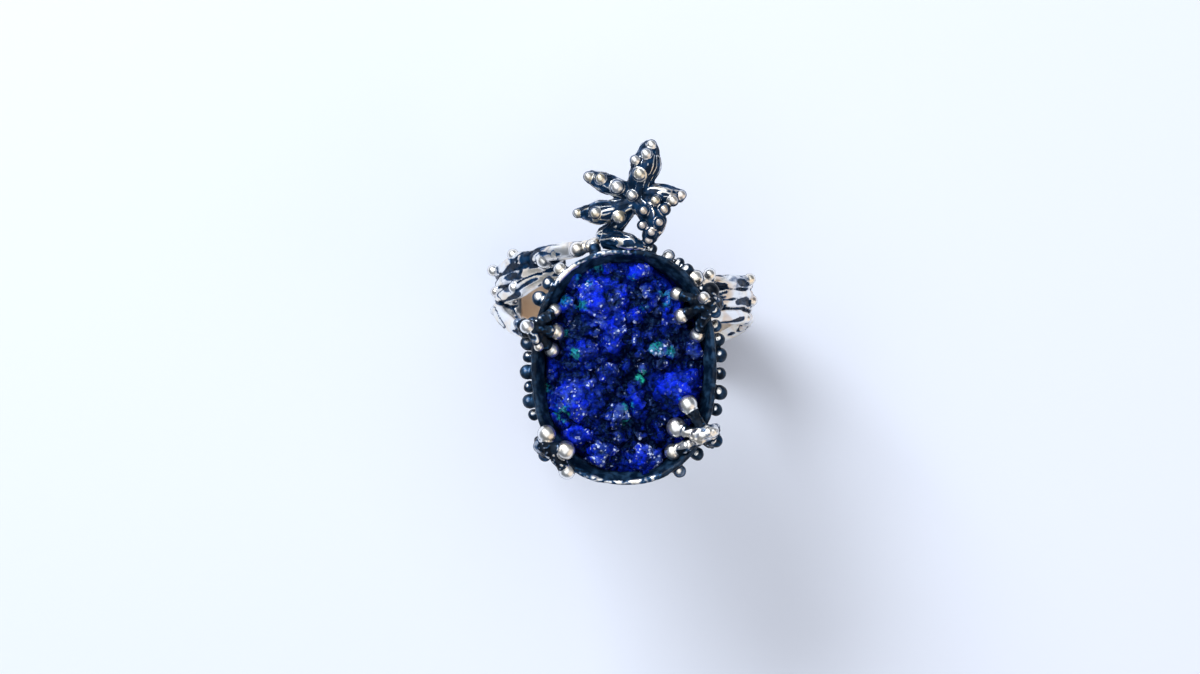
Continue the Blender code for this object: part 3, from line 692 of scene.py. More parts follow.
# Places where the crust is darker, negative, or more vivid: middle, radius and change of tone. Most are the
# crust's own tone; the vivid spots on the upper left edge of the ridge and the top edge of the big right
# lump, and the dark spot on that lump's lower side, are painted light and painted shade
TONE_AND_LIGHT_SPOTS = [
    (-2.8, 5.9, 0.9, 0.35), (-1.9, 6.5, 0.7, 0.35), (-1.0, 5.3, 0.9, -0.75), (-2.2, 4.4, 0.7, 0.2),
    (-1.2, 2.0, 1.0, 0.25), (2.9, -3.1, 1.4, -0.6), (3.2, -0.7, 1.1, 0.3), (5.0, -1.6, 0.8, 0.3),
    (-4.0, -2.7, 1.0, 0.25), (-1.6, -2.6, 0.9, -0.2), (1.3, 7.7, 0.8, 0.2), (0.6, -4.6, 0.9, -0.4),
    (-0.2, -5.2, 1.0, -0.4), (-2.4, 0.0, 0.8, -0.3), (1.0, 0.4, 0.8, -0.3), (0.9, 3.2, 0.6, -0.2),
    (1.2, 5.4, 0.7, -0.5), (2.3, 3.6, 0.7, -0.4), (-3.6, 3.2, 0.9, -0.4), (3.9, 1.9, 0.7, -0.4),
]
STONE_INSET = 0.8
STONE_SHIFT = Vector((-0.15, 0.1, 0))
STONE_SIDES = 36
STONE_VOXEL = 0.11
VALLEY_DEPTH = 0.35
# How far the stone reaches towards the cup's outline, by direction from the cup's middle in degrees
STONE_REACH = [
    (-180, 0.84), (-165, 0.88), (-151, 0.91), (-137, 0.84), (-112, 0.85), (-100, 0.92), (-80, 0.95),
    (-68, 0.89), (-45, 0.86), (-22, 0.88), (0, 0.89), (12, 0.91), (34, 0.76), (56, 0.82), (72, 0.88),
    (80, 0.93), (105, 0.93), (120, 0.94), (140, 0.88), (180, 0.84),
]
EDGE_DROP = 1.3
# The crystal faces: share of their tilt, cell size and seed
CRUST = [(0.50, 1.5, 5.0), (0.50, 0.75, 0.0), (0.45, 0.38, 11.0)]
CREVICE_DEPTH = 0.20
LUMP_POINTS = 30
LUMP_ROOT = 0.9
GRAVEL_SEED = 7
# Vector noise, which tilts the crystal faces, starts from the clock unless it has a seed
CRYSTAL_SEED = 1


def dome_height(x, y):
    across = abs(x - STONE_SHIFT.x - CUP_MIDDLE.x) / (CUP_HALF_WIDTH - STONE_INSET)
    along = abs(y - STONE_SHIFT.y - CUP_MIDDLE.y) / (CUP_HALF_LENGTH - STONE_INSET)
    reach = min(1.0, (across**CUP_POWER + along**CUP_POWER) ** (1 / CUP_POWER))
    return STONE_EDGE_Z + (STONE_CROWN_Z - STONE_EDGE_Z) * (1 - reach**2)


def dome_mesh():
    """The rock under the crust. Its top lies lower than the lumps, so that they stand clear of it."""
    foot_z = CUP_UNDERSIDE_Z + CUP_SHEET
    edge = STONE_INSET - 0.3

    def top(x, y):
        return dome_height(x, y) - VALLEY_DEPTH

    shoulder = STONE_EDGE_Z - VALLEY_DEPTH - 0.3
    rows = [(edge + 0.7, foot_z), (edge, foot_z + 0.9), (edge, shoulder), (edge + 0.4, top)]
    rows += [(edge + inset, top) for inset in (1.6, 3.0, 4.4)]
    dome = oval_solid(rows, STONE_SIDES)
    dome.transform(Matrix.Translation(STONE_SHIFT))
    return dome


def lump_middle_and_size(x, y, half_width, half_length, rise):
    place = CUP_MIDDLE + Vector((x, y, 0))
    place.z = dome_height(place.x, place.y) - LUMP_ROOT
    return place, Vector((half_width, half_length, rise + LUMP_ROOT))


def lump_mesh(lump, seed):
    """The convex hull of points thrown on an egg shape."""
    dice = random.Random(seed)
    middle, size = lump_middle_and_size(*lump[:5])
    shape = bmesh.new()
    for _ in range(LUMP_POINTS):
        way = Vector((dice.gauss(0, 1), dice.gauss(0, 1), dice.gauss(0, 1))).normalized()
        way *= dice.uniform(0.92, 1.1)
        shape.verts.new(middle + way * size)
    bmesh.ops.convex_hull(shape, input=shape.verts)
    loose = [vert for vert in shape.verts if not vert.link_faces]
    bmesh.ops.delete(shape, geom=loose, context="VERTS")
    return to_mesh(shape, "lump")


def gravel():
    """Small lumps in rings, with the same throws of the dice as the solid stone."""
    dice = random.Random(GRAVEL_SEED)
    tones = random.Random(GRAVEL_SEED + 1)
    lumps = []
    for reach, count in SMALL_LUMP_RINGS:
        for index in range(count):
            angle = 360 * (index + dice.uniform(-0.3, 0.3)) / count
            place = (oval(angle, STONE_INSET) - CUP_MIDDLE) * reach
            half_sizes = dice.uniform(0.5, 0.95), dice.uniform(0.5, 0.95)
            rise = dice.uniform(0.1, 0.6) - 0.4 * VALLEY_DEPTH
            looks = tones.uniform(0.0, 0.60), tones.uniform(0.0, 0.8)
            lumps.append((place.x, place.y, *half_sizes, rise, *looks))
    return lumps


all_lumps = LUMPS + gravel()
print(len(all_lumps), "lumps")

# %% Melt and carve the stone


def lump_claims(points, lumps):
    """For each vertex, which lump it belongs to and how much nearer that lump is than the next one.

    The lumps of the ridge count as one, so no crevice parts them.
    """
    claims = []
    for lump in lumps:
        middle, size = lump_middle_and_size(*lump[:5])
        claims.append(np.linalg.norm((points - np.array(middle)) / np.array(size), axis=1))
    claims = np.array(claims)
    owner = claims.argmin(axis=0)
    claims[RIDGE[0]] = claims[RIDGE].min(axis=0)
    claims[RIDGE[1:]] = 99
    order = np.sort(claims, axis=0)
    return owner, order[1] - order[0]


def beyond_the_edge(points):
    """0 on the stone and 1 outside its own uneven outline."""
    across, along = points[:, 0] - CUP_MIDDLE.x, points[:, 1] - CUP_MIDDLE.y
    directions, reaches = zip(*STONE_REACH)
    edge = np.interp(np.degrees(np.arctan2(along, across)), directions, reaches)
    across, along = np.abs(across) / CUP_HALF_WIDTH, np.abs(along) / CUP_HALF_LENGTH
    reach = (across**CUP_POWER + along**CUP_POWER) ** (1 / CUP_POWER)
    return step(reach / edge + 0.02 * cloud(points, 0.8), 0.98, 1.05)


def sink_edge(stone):
    """Lowers the stone outside its own outline, most at the top, so that nothing folds over."""
    foot_z = CUP_UNDERSIDE_Z + CUP_SHEET
    share = np.clip((stone.points[:, 2] - foot_z) / (STONE_EDGE_Z - foot_z), 0, 1)
    points = stone.points.copy()
    points[:, 2] -= EDGE_DROP * beyond_the_edge(points) * share
    points[:, 2] = np.maximum(points[:, 2], foot_z)
    stone.place(points)


def spots(stone, table, wobble, low, high):
    """For each row of the table its value, and 1 in the middle of its spot down to 0 outside.

    Wobble is how much noise of what size makes the spots' edges uneven.
    """
    depth, size = wobble
    uneven = depth * cloud(stone.points, size)
    for x, y, radius, value in table:
        middle = np.array([CUP_MIDDLE.x + x, CUP_MIDDLE.y + y])
        distances = np.linalg.norm(stone.points[:, :2] - middle, axis=1) + uneven
        yield value, 1 - step(distances / radius, low, high)


def draw_stone():
    parts = [dome_mesh()] + [lump_mesh(lump, seed) for seed, lump in enumerate(all_lumps)]
    stone = Relief(skin(parts, STONE_VOXEL))
    lump_of, lead = lump_claims(stone.points, all_lumps)
    dome = np.array([dome_height(x, y) for x, y in stone.points[:, :2]])
    height = stone.points[:, 2] - dome
    top = step(stone.points[:, 2], STONE_EDGE_Z - 0.9, STONE_EDGE_Z - 0.4)
    crevice = 1 - step(lead + 0.10 * cloud(stone.points, 0.5), 0.0, 0.12)
    noise.seed_set(CRYSTAL_SEED)
    crust = sum(share * facets(stone.points, size, seed) for share, size, seed in CRUST)
    stone.push(top * (crust + 0.08 * cloud(stone.points, 0.3) - CREVICE_DEPTH * crevice))
    sink_edge(stone)
    tones = np.array([lump[5] for lump in all_lumps])[lump_of]
    glitter = np.array([lump[6] for lump in all_lumps])[lump_of]
    tones, glitter = stone.softened(4, np.stack([tones, glitter], axis=1)).T
    # painted shade and light: colour is darker in crevices and hollows and brighter on high crests
    high = step(height, -0.50, 0.60)
    local = step(stone.standing(18), -0.12, 0.14) * (1 - 0.5 * step(crevice, 0.2, 1.0))
    tones += 0.30 * cloud(stone.points, 1.2)
    # painted light and shade on some lump edges, mixed with the crust's own darker and vivid places
    for change, spot in spots(stone, TONE_AND_LIGHT_SPOTS, (0.30, 0.5), 0.5, 1.2):
        tones += change * spot
    stone.paint("tone", tones)
    stone.paint("glitter", glitter)
    stone.paint("crest", (0.25 + 0.75 * high) * local)
    chips = [vivid * spot for vivid, spot in spots(stone, GREEN_CHIPS, (0.34, 0.35), 0.6, 1.1)]
    stone.paint("green", np.max(chips, axis=0))
    finish_piece("crystal_crust", stone.mesh, stone_finish(), "stone")


# %% [markdown]
# ## Crystal colour
# Vivid ultramarine sits on the crests and falls to navy and black in the hollows; the dark of the hollows
# is painted shade and the brightening of high crests is painted light. Green chips and pale glitter lie on
# top. For the glitter a cell pattern gives each tiny crystal its own tilt in the bump, so here and there one
# catches a lamp, and pale colour painted on some of these cells is a painted glint.

# %% The stone's finish


def tilted_cells(finish, size):
    """For each crystal cell of that size a chance number, and a height that leans its own way."""
    scale = {"Scale": 1 / (size * METRES)}
    where = finish.vector("SCALE", finish.place(), scale)
    colour = finish.node("ShaderNodeTexVoronoi", None, {"Vector": where, "Scale": 1.0}, "Color")
    lean = finish.vector("SUBTRACT", colour, {1: (0.5, 0.5, 0.5)})
    offset = finish.vector("SUBTRACT", where, {1: colour.output("Position")})
    tilt = finish.vector("DOT_PRODUCT", lean, {1: offset}, "Value")
    return finish.node("ShaderNodeSeparateColor", None, {0: colour}), tilt


def stone_finish():
    finish = Finish("blue_crystal")
    tone, glitter = finish.attribute("tone"), finish.attribute("glitter")
    crest, green = finish.attribute("crest"), finish.attribute("green")
    grain = finish.noise(0.20, 5.0)
    patches = finish.noise(1.7, 3.0)
    shards = finish.noise(0.5, 4.0)
    # painted shade: the crest value darkens the blue in hollows, on top of the crust's own tone and grain
    light = crest * 0.58 + tone * 0.66 - 0.19
    light += (grain - 0.5) * 1.55 + (patches - 0.5) * 0.9 + (shards - 0.5) * 1.1
    deep = finish.blend(light.ramp(0.02, 0.58), (0.0001, 0.0009, 0.019, 1), (0.0007, 0.0085, 0.21, 1))
    blue = finish.blend(light.ramp(0.50, 1.20), deep, (0.0022, 0.017, 0.72, 1))
    chips = finish.blend(grain.ramp(0.38, 0.60), (0.001, 0.06, 0.09, 1), (0.02, 0.46, 0.30, 1))
    coloured = finish.blend(green * crest.ramp(0.05, 0.4), blue, chips)
    # painted glints: a pale blue haze and pale cells on the crests, where tiny crystals would catch the lamps
    painted_glint_haze = glitter * finish.noise(0.9, 5.0).ramp(0.45, 0.68) * crest.ramp(0.15, 0.55)
    coloured = finish.blend(painted_glint_haze * 0.60, coloured, (0.11, 0.20, 0.60, 1))
    chance, tilt = tilted_cells(finish, 0.17)
    strewn = (finish.noise(0.8, 3.0) - 0.5) * 0.45
    painted_glint = (chance + painted_glint_haze * 0.36 + glitter * 0.04 + strewn).ramp(0.97, 1.12) * crest.ramp(0.05, 0.35)
    return finish.set(
        Base_Color=finish.blend(painted_glint * 0.9, coloured, (0.62, 0.72, 1.0, 1)),
        Roughness=0.40 - painted_glint * 0.22,
        Normal=finish.bump(tilt + grain * 0.5, 0.10),
        Specular_IOR_Level=0.38,
        Specular_Tint=(0.14, 0.40, 1.0, 1),
    )


draw_stone()

# %% [markdown]
# ## The band
# Four twigs lie side by side round the finger, pulled apart into a window on the left shoulder. Bark
# runs along them: a noise stretched round the ring, whose zero line becomes a narrow black crease. The
# inner side is a smooth liner, and every vertex that would reach into the finger hole is moved out to
# its wall.

# %% Lay the twigs

# For each angle round the hole in degrees from the foot, left negative: the places of the back, upper
# middle, lower middle and front twig along the finger, then their radii
TWIG_TABLE = np.array([
    (-150, 3.4, 2.6, 1.8, -3.0, 0.75, 0.6, 0.5, 0.6),
    (-136, 3.1, 2.2, 1.3, -2.8, 0.8, 0.6, 0.55, 0.6),
    (-122, 2.7, 1.7, 0.5, -2.5, 0.8, 0.65, 0.6, 0.7),
    (-108, 2.2, 1.3, 0.2, -1.8, 0.75, 0.7, 0.75, 0.85),
    (-94, 1.8, 1.0, 0.1, -1.0, 0.7, 0.7, 0.8, 0.9),
    (-80, 1.6, 0.7, -0.1, -1.0, 0.7, 0.7, 0.85, 0.9),
    (-64, 1.4, 0.4, -0.5, -1.4, 0.75, 0.75, 0.85, 0.85),
    (-42, 0.9, -0.3, -1.3, -2.4, 0.85, 0.85, 0.85, 0.85),
    (0, -0.3, -1.7, -3.1, -4.5, 0.95, 0.95, 0.95, 0.95),
    (42, 0.5, -0.8, -1.9, -3.3, 0.85, 0.85, 0.85, 0.85),
    (64, 0.8, -0.4, -1.3, -2.5, 0.75, 0.75, 0.75, 0.75),
    (80, 1.0, -0.1, -0.9, -2.0, 0.7, 0.7, 0.7, 0.7),
    (94, 1.1, 0.1, -0.6, -1.7, 0.65, 0.65, 0.6, 0.65),
    (108, 1.1, 0.1, -0.4, -1.6, 0.6, 0.6, 0.55, 0.65),
    (122, 1.1, 0.1, -0.4, -1.6, 0.65, 0.6, 0.55, 0.6),
    (136, 1.1, 0.1, -0.4, -1.6, 0.6, 0.65, 0.5, 0.65),
    (150, 1.1, 0.1, -0.4, -1.6, 0.6, 0.6, 0.5, 0.6),
])
TWIG_ANGLES = TWIG_TABLE[:, 0]
TWIG_NAMES = ["back", "upper_middle", "lower_middle", "front"]
TWIG_PLACES = dict(zip(TWIG_NAMES, TWIG_TABLE[:, 1:5].T))
TWIG_RADII = dict(zip(TWIG_NAMES, TWIG_TABLE[:, 5:].T))
LINER_SPAN = (-112, 150)
LINER_DEPTH = 0.3
LINER_LIP = 0.2
STATION_STEP = 7
CLIMBING_BRANCH = [
    (-7.4, 2.9, 16.3), (-5.9, 3.3, 18.6), (-4.2, 3.55, 20.1), (-2.9, 3.8, 20.9), (-2.1, 4.2, 21.3),
]
CLIMBING_RADII = [0.75, 0.75, 0.68, 0.56, 0.42]
# Buds on the shoulders: middle and radius
BUDS = [
    ((-10.45, 2.1, 11.2), 0.45), ((-8.8, 3.3, 15.0), 0.45), ((-6.3, 2.75, 18.4), 0.62),
    ((-8.7, 0.7, 15.2), 0.45), ((-10.2, 0.4, 11.9), 0.42), ((-5.3, 3.3, 19.5), 0.45),
    ((-3.7, 3.6, 20.9), 0.62), ((-2.4, 3.85, 21.4), 0.55), ((9.9, 1.4, 12.6), 0.45),
    ((10.1, -0.3, 11.5), 0.45), ((9.6, -1.7, 13.2), 0.40), ((6.6, 1.7, 17.9), 0.50),
    ((-10.3, -1.1, 11.0), 0.38),
]
BAND_VOXEL = 0.115
VEIN_HEIGHT = 0.03
SLOT_DEPTH = 0.12
CREASE_DEPTH = 0.16
# How rough the bark is on each of the four twigs, then on the climbing branch
ROD_ROUGHNESS = np.array([0.45, 0.25, 0.0, 0.0, 0.45])


def round_the_hole(angle, along, radius=TWIG_AXIS_RADIUS):
    turn = math.radians(angle)
    return Vector((radius * math.sin(turn), along, HOLE_Z - radius * math.cos(turn)))


def stations(first, last):
    return np.linspace(first, last, round((last - first) / STATION_STEP) + 1)


def place_along(name, angle):
    return float(np.interp(angle, TWIG_ANGLES, TWIG_PLACES[name]))


def liner_mesh():
    """A flat strip from the front twig to the back twig, reaching a little into the finger hole."""
    inner, outer = FINGER_RADIUS - LINER_DEPTH, TWIG_AXIS_RADIUS
    sections = []
    for angle in stations(*LINER_SPAN):
        front, back = place_along("front", angle) - LINER_LIP, place_along("back", angle) + LINER_LIP
        corners = [(front, inner), (back, inner), (back, outer), (front, outer)]
        sections.append([round_the_hole(angle, along, radius) for along, radius in corners])
    return loft(sections, "liner")


print("stations round the band:", len(stations(TWIG_ANGLES[0], TWIG_ANGLES[-1])))

# %% Find each point's own rod, and cut bark along it


def rod_fields(points, rods, reference):
    """Where each point lies on the rod nearest to it.

    Gives its length along the rod and offset from the middle line, and how much nearer this rod is than
    the next. A point with a lead near 0 lies in the valley between two rods.
    """
    best, second = np.full(len(points), 99.0), np.full(len(points), 99.0)
    field, owner = np.zeros((len(points), 3)), np.zeros(len(points), dtype=int)
    for number, (line, radii) in enumerate(rods):
        own, own_field = np.full(len(points), 99.0), np.zeros((len(points), 3))
        length = 50.0 * number
        for start, end, first_radius, last_radius in zip(line, line[1:], radii, radii[1:]):
            way = Vector(end) - Vector(start)
            side = (Vector(reference) - way * (Vector(reference).dot(way) / way.length_squared)).normalized()
            share = np.clip((points - np.array(start)) @ np.array(way) / way.length_squared, 0, 1)
            away = points - np.array(start) - share[:, None] * np.array(way)
            reach = np.linalg.norm(away, axis=1) / (first_radius + (last_radius - first_radius) * share)
            here = np.stack([length + share * way.length, away @ np.array(side),
                             away @ np.array(way.cross(side).normalized())], axis=1)
            own_field[reach < own] = here[reach < own]
            own = np.minimum(own, reach)
            length += way.length
        second = np.minimum(second, np.maximum(best, own))
        field[own < best], owner[own < best] = own_field[own < best], number
        best = np.minimum(best, own)
    return field, owner, second - best


def slots(field, size=1.0, more=0.0):
    """Depth from 0 to 1 of long slots that run along the rods, with wider ones where more is above 0."""
    pits = cloud(field + 80, (2.4 * size, 0.60 * size, 0.60 * size)) + more
    line = np.abs(cloud(field, (4.0 * size, 0.85 * size, 0.85 * size)))
    broken = step(cloud(field + 40, (2.0 * size, 1.2 * size, 1.2 * size)), -0.1, 0.2)
    return np.maximum(step(pits, 0.20, 0.36), (1 - step(line, 0.02, 0.09)) * broken)


def veins(field, size=1.0):
    """Thin raised lines from 0 to 1 that run along the rods."""
    line = np.abs(cloud(field + 20, (3.0 * size, 0.55 * size, 0.55 * size)))
    return 1 - step(line, 0.03, 0.14)


def band_rods():
    angles = stations(TWIG_ANGLES[0], TWIG_ANGLES[-1])
    rods = []
    for name in TWIG_PLACES:
        line = [round_the_hole(angle, place_along(name, angle)) for angle in angles]
        rods.append((line, np.interp(angles, TWIG_ANGLES, TWIG_RADII[name])))
    return rods + [([Vector(point) for point in CLIMBING_BRANCH], CLIMBING_RADII)]


def draw_band():
    rods = band_rods()
    band, bud = cast([liner_mesh()] + [twig(*rod) for rod in rods], BUDS, BAND_VOXEL)
    reach = np.hypot(band.points[:, 0], band.points[:, 2] - HOLE_Z)
    outside = step(reach, FINGER_RADIUS + 0.15, FINGER_RADIUS + 0.5) * (1 - bud)
    field, owner, lead = rod_fields(band.points, rods, (0, 1, 0))
    right = step(band.points[:, 0], 2.0, 5.0)
    wander = (0.12 + 0.16 * right) * cloud(band.points, 1.3)
    valley = (1 - step(lead + wander, 0.02, 0.24)) * outside
    slot = slots(field, 1.0, 0.07 * right) * outside
    vein = veins(field) * outside
    rough = ROD_ROUGHNESS[owner]
    band.push(VEIN_HEIGHT * vein * rough - (SLOT_DEPTH + 0.05 * right) * slot - CREASE_DEPTH * valley)
    points = band.points.copy()
    reach = np.maximum(np.hypot(points[:, 0], points[:, 2] - HOLE_Z), 0.001)
    out = np.maximum(FINGER_RADIUS / reach, 1)
    points[:, 0] *= out
    points[:, 2] = HOLE_Z + (points[:, 2] - HOLE_Z) * out
    points[:, 2] = np.maximum(points[:, 2], 0)
    band.place(points)
    inner = 1 - step(reach, FINGER_RADIUS + 0.05, FINGER_RADIUS + 0.2)
    polish_and_highlight = 0.90 - 0.50 * rough + 0.45 * rough * vein - (0.75 + 0.25 * right) * slot - 1.0 * valley
    polish_and_highlight = np.maximum(polish_and_highlight + 0.30 * cloud(band.points, 1.4), inner * 0.9)
    # painted highlight: each bud is polished bright on its upward face and dark on its sides
    ball_polish_and_highlight = bud * (0.10 + 0.9 * step(band.normals[:, 2], 0.0, 0.5))
    band.paint("polish_and_highlight", np.where(bud > 0.5, ball_polish_and_highlight, np.maximum(polish_and_highlight * (1 - bud), ball_polish_and_highlight)))
    # painted warm reflection: the inside of the band, most where it shows through the window on the left
    # shoulder, and random patches mostly on the right
    by_the_window = step(-band.points[:, 0], 4.0, 6.5)
    warm = inner * (0.25 + 0.65 * by_the_window)
    warm_reflection_patches = (0.25 + 0.30 * right) * step(cloud(band.points + 30, 1.1), 0.10, 0.45)
    band.paint("warm", np.maximum(warm, warm_reflection_patches))
    finish_piece("bark_band", band.mesh, band_silver, "band")


draw_band()

# %% [markdown]
# ## The sprig
# Above the cup sits a tuft like a bit of coral: five fat lobes that meet at a hub, with grains of
# different sizes on them, and a thin leaf at its root. Its hollows are wider and blacker than those of
# the band, and only ridges and grains are polished.

# %% Draw the sprig

# Each lobe's middle line and its radii: top, upper left, left, right, lower right, leaf at the root, stem
LOBES = [
    ([(0.9, 7.6, 22.9), (1.15, 8.8, 23.2), (1.6, 10.1, 23.4), (1.85, 11.1, 23.3)], [0.85, 0.95, 1.25, 0.85]),
    ([(0.6, 7.7, 22.9), (-0.4, 8.2, 23.0), (-1.6, 8.7, 23.0), (-2.6, 9.1, 22.9)], [0.7, 0.8, 0.85, 0.55]),
    ([(0.6, 7.2, 22.9), (-0.6, 6.7, 22.9), (-2.1, 6.4, 22.7), (-3.5, 6.4, 22.5)], [0.7, 0.8, 0.98, 0.42]),
    ([(0.9, 7.5, 22.9), (2.0, 7.9, 23.1), (3.1, 7.8, 23.2), (4.1, 7.7, 23.1)], [0.75, 0.75, 0.82, 0.55]),
    ([(0.9, 7.2, 22.9), (1.8, 6.5, 23.3), (2.2, 5.6, 23.5), (1.9, 4.6, 23.4)], [0.8, 0.95, 1.0, 0.65]),
    ([(-1.6, 4.3, 22.2), (-0.6, 4.2, 22.9), (0.4, 4.05, 23.4), (1.3, 3.8, 23.6)], [0.7, 0.78, 0.68, 0.3]),
    ([(0.7, 7.3, 22.8), (-0.1, 6.2, 22.4), (-0.9, 5.2, 21.9), (-1.7, 4.75, 21.6)], [0.75, 0.65, 0.65, 0.6]),
]
SPRIG_GRAINS = [
    ((1.1, 9.35, 24.1), 0.56), ((0.75, 10.4, 24.2), 0.42), ((1.6, 10.9, 24.3), 0.45),
    ((2.0, 11.6, 23.8), 0.42), ((-2.8, 9.15, 23.1), 0.45), ((-1.9, 9.0, 23.6), 0.46),
    ((-0.65, 8.35, 23.65), 0.56), ((0.5, 7.7, 23.7), 0.42), ((-3.7, 6.35, 22.6), 0.38),
    ((-2.3, 6.35, 23.5), 0.46), ((-0.5, 6.05, 23.3), 0.55), ((4.3, 7.75, 23.3), 0.42),
    ((3.65, 7.3, 23.7), 0.46), ((2.3, 7.3, 23.9), 0.42), ((1.4, 6.5, 24.1), 0.48),
    ((3.0, 6.6, 23.9), 0.50), ((2.6, 5.6, 24.3), 0.45), ((1.3, 5.4, 24.0), 0.42),
    ((2.0, 4.85, 24.0), 0.46), ((1.8, 4.3, 23.5), 0.50),
]
SPRIG_VOXEL = 0.075
SPRIG_VEIN_HEIGHT = 0.05
SPRIG_SLOT_DEPTH = 0.10


def draw_sprig():
    ends = [ball(line[-1], radii[-1]) for line, radii in LOBES]
    sprig, grain = cast([twig(*lobe) for lobe in LOBES] + ends, SPRIG_GRAINS, SPRIG_VOXEL)
    field = rod_fields(sprig.points, LOBES, (0, 0, 1))[0]
    vein = veins(field, 0.9) * (1 - grain)
    slot = slots(field, 0.8) * (1 - grain)
    dents = 0.02 * cloud(sprig.points, 0.6) * grain
    sprig.push(SPRIG_VEIN_HEIGHT * vein - SPRIG_SLOT_DEPTH * slot + dents)
    crest = step(sprig.standing(14), 0.0, 0.06)
    # painted highlight on slopes of one tilt, added to the polish of the crests
    flank = 1 - step(np.abs(sprig.normals[:, 2] - 0.45), 0.1, 0.4)
    brown_lobe = step(sprig.points[:, 0], 0.4, 1.2) * (1 - step(sprig.points[:, 1], 6.6, 7.4))
    polish_and_highlight = 0.04 + 0.50 * vein + 0.35 * crest + 0.22 * flank - 0.7 * slot - 0.12 * brown_lobe
    polish_and_highlight += 0.45 * cloud(sprig.points, 0.9) + 0.25 * cloud(sprig.points, 0.35)
    # painted highlight: grains bright on their upward faces, with a smaller cap on the brown lower right lobe
    ball_polish_and_highlight = 0.10 + (0.78 - 0.25 * brown_lobe) * step(sprig.normals[:, 2], 0.15 + 0.50 * brown_lobe, 0.85)
    sprig.paint("polish_and_highlight", np.where(grain > 0.5, ball_polish_and_highlight, polish_and_highlight * (1 - grain)))
    # painted warm reflection: random patches on the right and the lower right lobe
    patches = step(cloud(sprig.points, 1.3), 0.0, 0.4) * step(sprig.points[:, 0], 0.8, 2.0)
    sprig.paint("warm", np.maximum(0.35 * patches, 0.42 * brown_lobe))
    finish_piece("coral_sprig", sprig.mesh, sprig_silver, "sprig")


draw_sprig()

# %% [markdown]
# ## The claws
# Four clusters of short branches climb the cup's wall, bend over the rim and press their round ends on
# the stone. Each ball end sits on whatever is under it, so its height is found by dropping rays on the
# frame's solids of the stone and the cup. Stems stay black, and the balls are the ring's brightest spots.

# %% Draw the claws

# For each claw, where it leaves the wall in degrees round the cup, then its ball ends as place, radius
# and shine. A ball end without a height rests on the stone.
CLAWS = {
    "claw_upper_left": (158, [
        ((-5.42, -1.12, None), 0.48, 1.0), ((-5.27, -2.81, None), 0.55, 1.0),
        ((-5.65, -4.19, None), 0.55, 1.0), ((-7.58, -2.38, 24.5), 0.50, 0.95),
        ((-8.2, -2.12, 23.6), 0.38, 0.5), ((-6.65, -3.92, 24.3), 0.36, 0.7)]),
    "claw_lower_left": (225, [
        ((-6.04, -10.65, None), 0.66, 0.9), ((-4.58, -11.88, None), 0.68, 1.0),
        ((-6.55, -11.6, 23.7), 0.50, 0.55), ((-6.2, -12.3, 23.0), 0.46, 0.35),
        ((-4.5, -13.5, 23.2), 0.60, 0.9)]),
    "claw_lower_right": (-40, [
        ((4.81, -8.38, None), 0.68, 1.0), ((3.92, -10.15, None), 0.72, 1.0),
        ((3.65, -12.04, None), 0.60, 0.9), ((6.27, -10.54, 24.4), 0.48, 0.9),
        ((6.95, -11.15, 23.8), 0.50, 0.35)]),
    "claw_upper_right": (36, [
        ((3.96, 0.12, None), 0.50, 0.9), ((4.31, -1.58, None), 0.55, 1.0),
        ((5.54, -3.04, None), 0.55, 1.0), ((6.04, -0.15, 24.6), 0.42, 0.75),
        ((6.92, -1.31, 24.1), 0.42, 0.4), ((6.55, 0.35, 23.5), 0.62, 0.05)]),
}
# One end of the lower right claw is drawn out into a leaf
LEAF = (
    [(5.0, -10.95, 24.2), (5.7, -10.75, 24.45), (6.6, -10.4, 24.4), (7.15, -10.05, 24.0)],
    [0.38, 0.55, 0.62, 0.30],
)
LEAF_CLAW = "claw_lower_right"
CLAW_STEM_RADIUS = 0.42
CLAW_VOXEL = 0.06
BALL_GROWTH = 1.08
# How far below the rim a claw leaves the wall, and how far above the rim it bends
CLAW_FOOT_DEPTH = 2.6
CLAW_KNEE_RISE = 0.6


def solid_tree(names):
    """The frame's own solids as one search tree, in drawing millimetres."""
    points, faces = [], []
    for name in names:
        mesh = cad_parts[name].data
        faces += [[index + len(points) for index in polygon.vertices] for polygon in mesh.polygons]
        points += [vert.co / METRES + Vector((0, FOOT_MIDDLE_Y, 0)) for vert in mesh.vertices]
    return BVHTree.FromPolygons(points, faces)


def resting_height(x, y, radius, ground):
    """The height at which a ball of that radius sits on what is below it."""
    highest = STONE_EDGE_Z
    for ring in (0.0, 0.5, 0.9):
        for turn in range(0, 360, 45):
            shift = Vector((math.cos(math.radians(turn)), math.sin(math.radians(turn)))) * radius * ring
            hit = ground.ray_cast(Vector((x + shift.x, y + shift.y, 40)), Vector((0, 0, -1)))[0]
            if hit:
                highest = max(highest, hit.z + radius * (math.sqrt(1 - ring**2) - 1))
    return highest + radius


def claw_branch(foot, knee, tip, radius):
    middle = (knee + tip) / 2 + Vector((0, 0, 0.2))
    stems = [CLAW_STEM_RADIUS * 1.35, CLAW_STEM_RADIUS * 1.2, CLAW_STEM_RADIUS, radius * 0.85]
    return twig([foot, knee, middle, tip], stems)


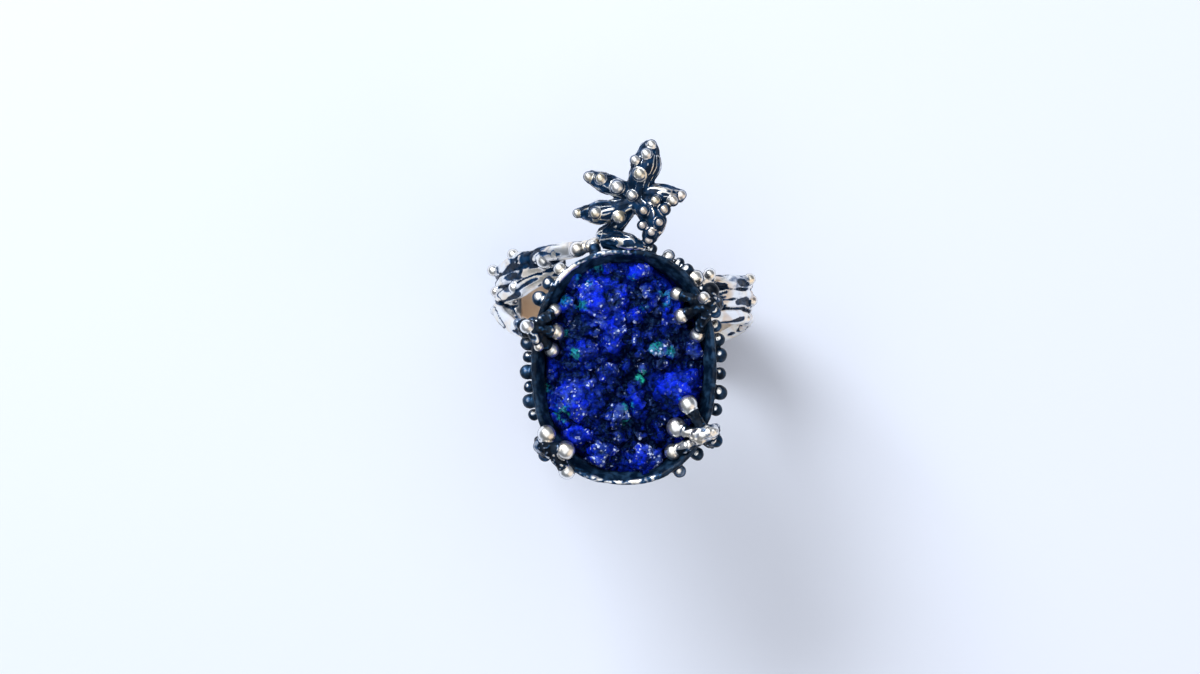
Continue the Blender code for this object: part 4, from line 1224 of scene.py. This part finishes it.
def draw_claw(name, ground):
    direction, ends = CLAWS[name]
    wall = oval(direction)
    outward = (wall - CUP_MIDDLE).normalized()
    foot = wall + outward * 0.75 + Vector((0, 0, CUP_RIM_Z - CLAW_FOOT_DEPTH))
    knee = wall + outward * 0.4 + Vector((0, 0, CUP_RIM_Z + CLAW_KNEE_RISE))
    stems, tips, shines = [], [], []
    for (x, y, z), radius, shine in ends:
        radius *= BALL_GROWTH
        tip = Vector((x, y, z or resting_height(x, y, radius, ground)))
        stems.append(claw_branch(foot, knee, tip, radius))
        tips.append((tip, radius))
        shines.append(shine)
    if name == LEAF_CLAW:
        stems.append(twig(*LEAF))
    claw, on_ball = cast(stems, tips, CLAW_VOXEL)
    lumps = cloud(claw.points, 0.6)
    knots = cloud(claw.points, 0.28)
    claw.push((0.13 * lumps + 0.07 * knots) * (1 - on_ball) + 0.035 * lumps * on_ball)
    crest = step(claw.standing(14), 0.0, 0.06)
    outwards = (claw.points[:, :2] - np.array(CUP_MIDDLE)[:2]) @ np.array(outward)[:2]
    over_wall = step(outwards, (wall - CUP_MIDDLE).length - 0.4, (wall - CUP_MIDDLE).length + 0.5)
    # painted highlight: crests of the stems and the leaf shine only where they face up
    facing_up = step(claw.normals[:, 2], 0.2, 0.8)
    stem = 0.05 + crest * facing_up * (0.30 + 0.5 * over_wall) + 0.35 * lumps + 0.25 * knots
    each_shine = np.max([near_balls(claw.points, [tip]) * shine for tip, shine in zip(tips, shines)], axis=0)
    # painted highlight: each ball is bright on its upward face and dark on its sides
    ball_polish_and_highlight = 0.05 + each_shine * step(claw.normals[:, 2], 0.0, 0.45) + 0.10 * knots
    if name == LEAF_CLAW:
        along_leaf = rod_fields(claw.points, [LEAF], (0, 0, 1))[0]
        on_leaf = 1 - step(np.linalg.norm(along_leaf[:, 1:], axis=1), 0.60, 0.75)
        stem = np.maximum(stem, on_leaf * step(claw.normals[:, 2], 0.1, 0.6) * (0.8 + 0.5 * lumps))
    claw.paint("polish_and_highlight", np.where(on_ball > 0.5, ball_polish_and_highlight, stem))
    claw.paint("warm", np.zeros(claw.count))
    finish_piece(name + "_cast", claw.mesh, claw_silver, name)


claw_ground = solid_tree(["stone", "bezel_cup"])
for claw_name in CLAWS:
    draw_claw(claw_name, claw_ground)
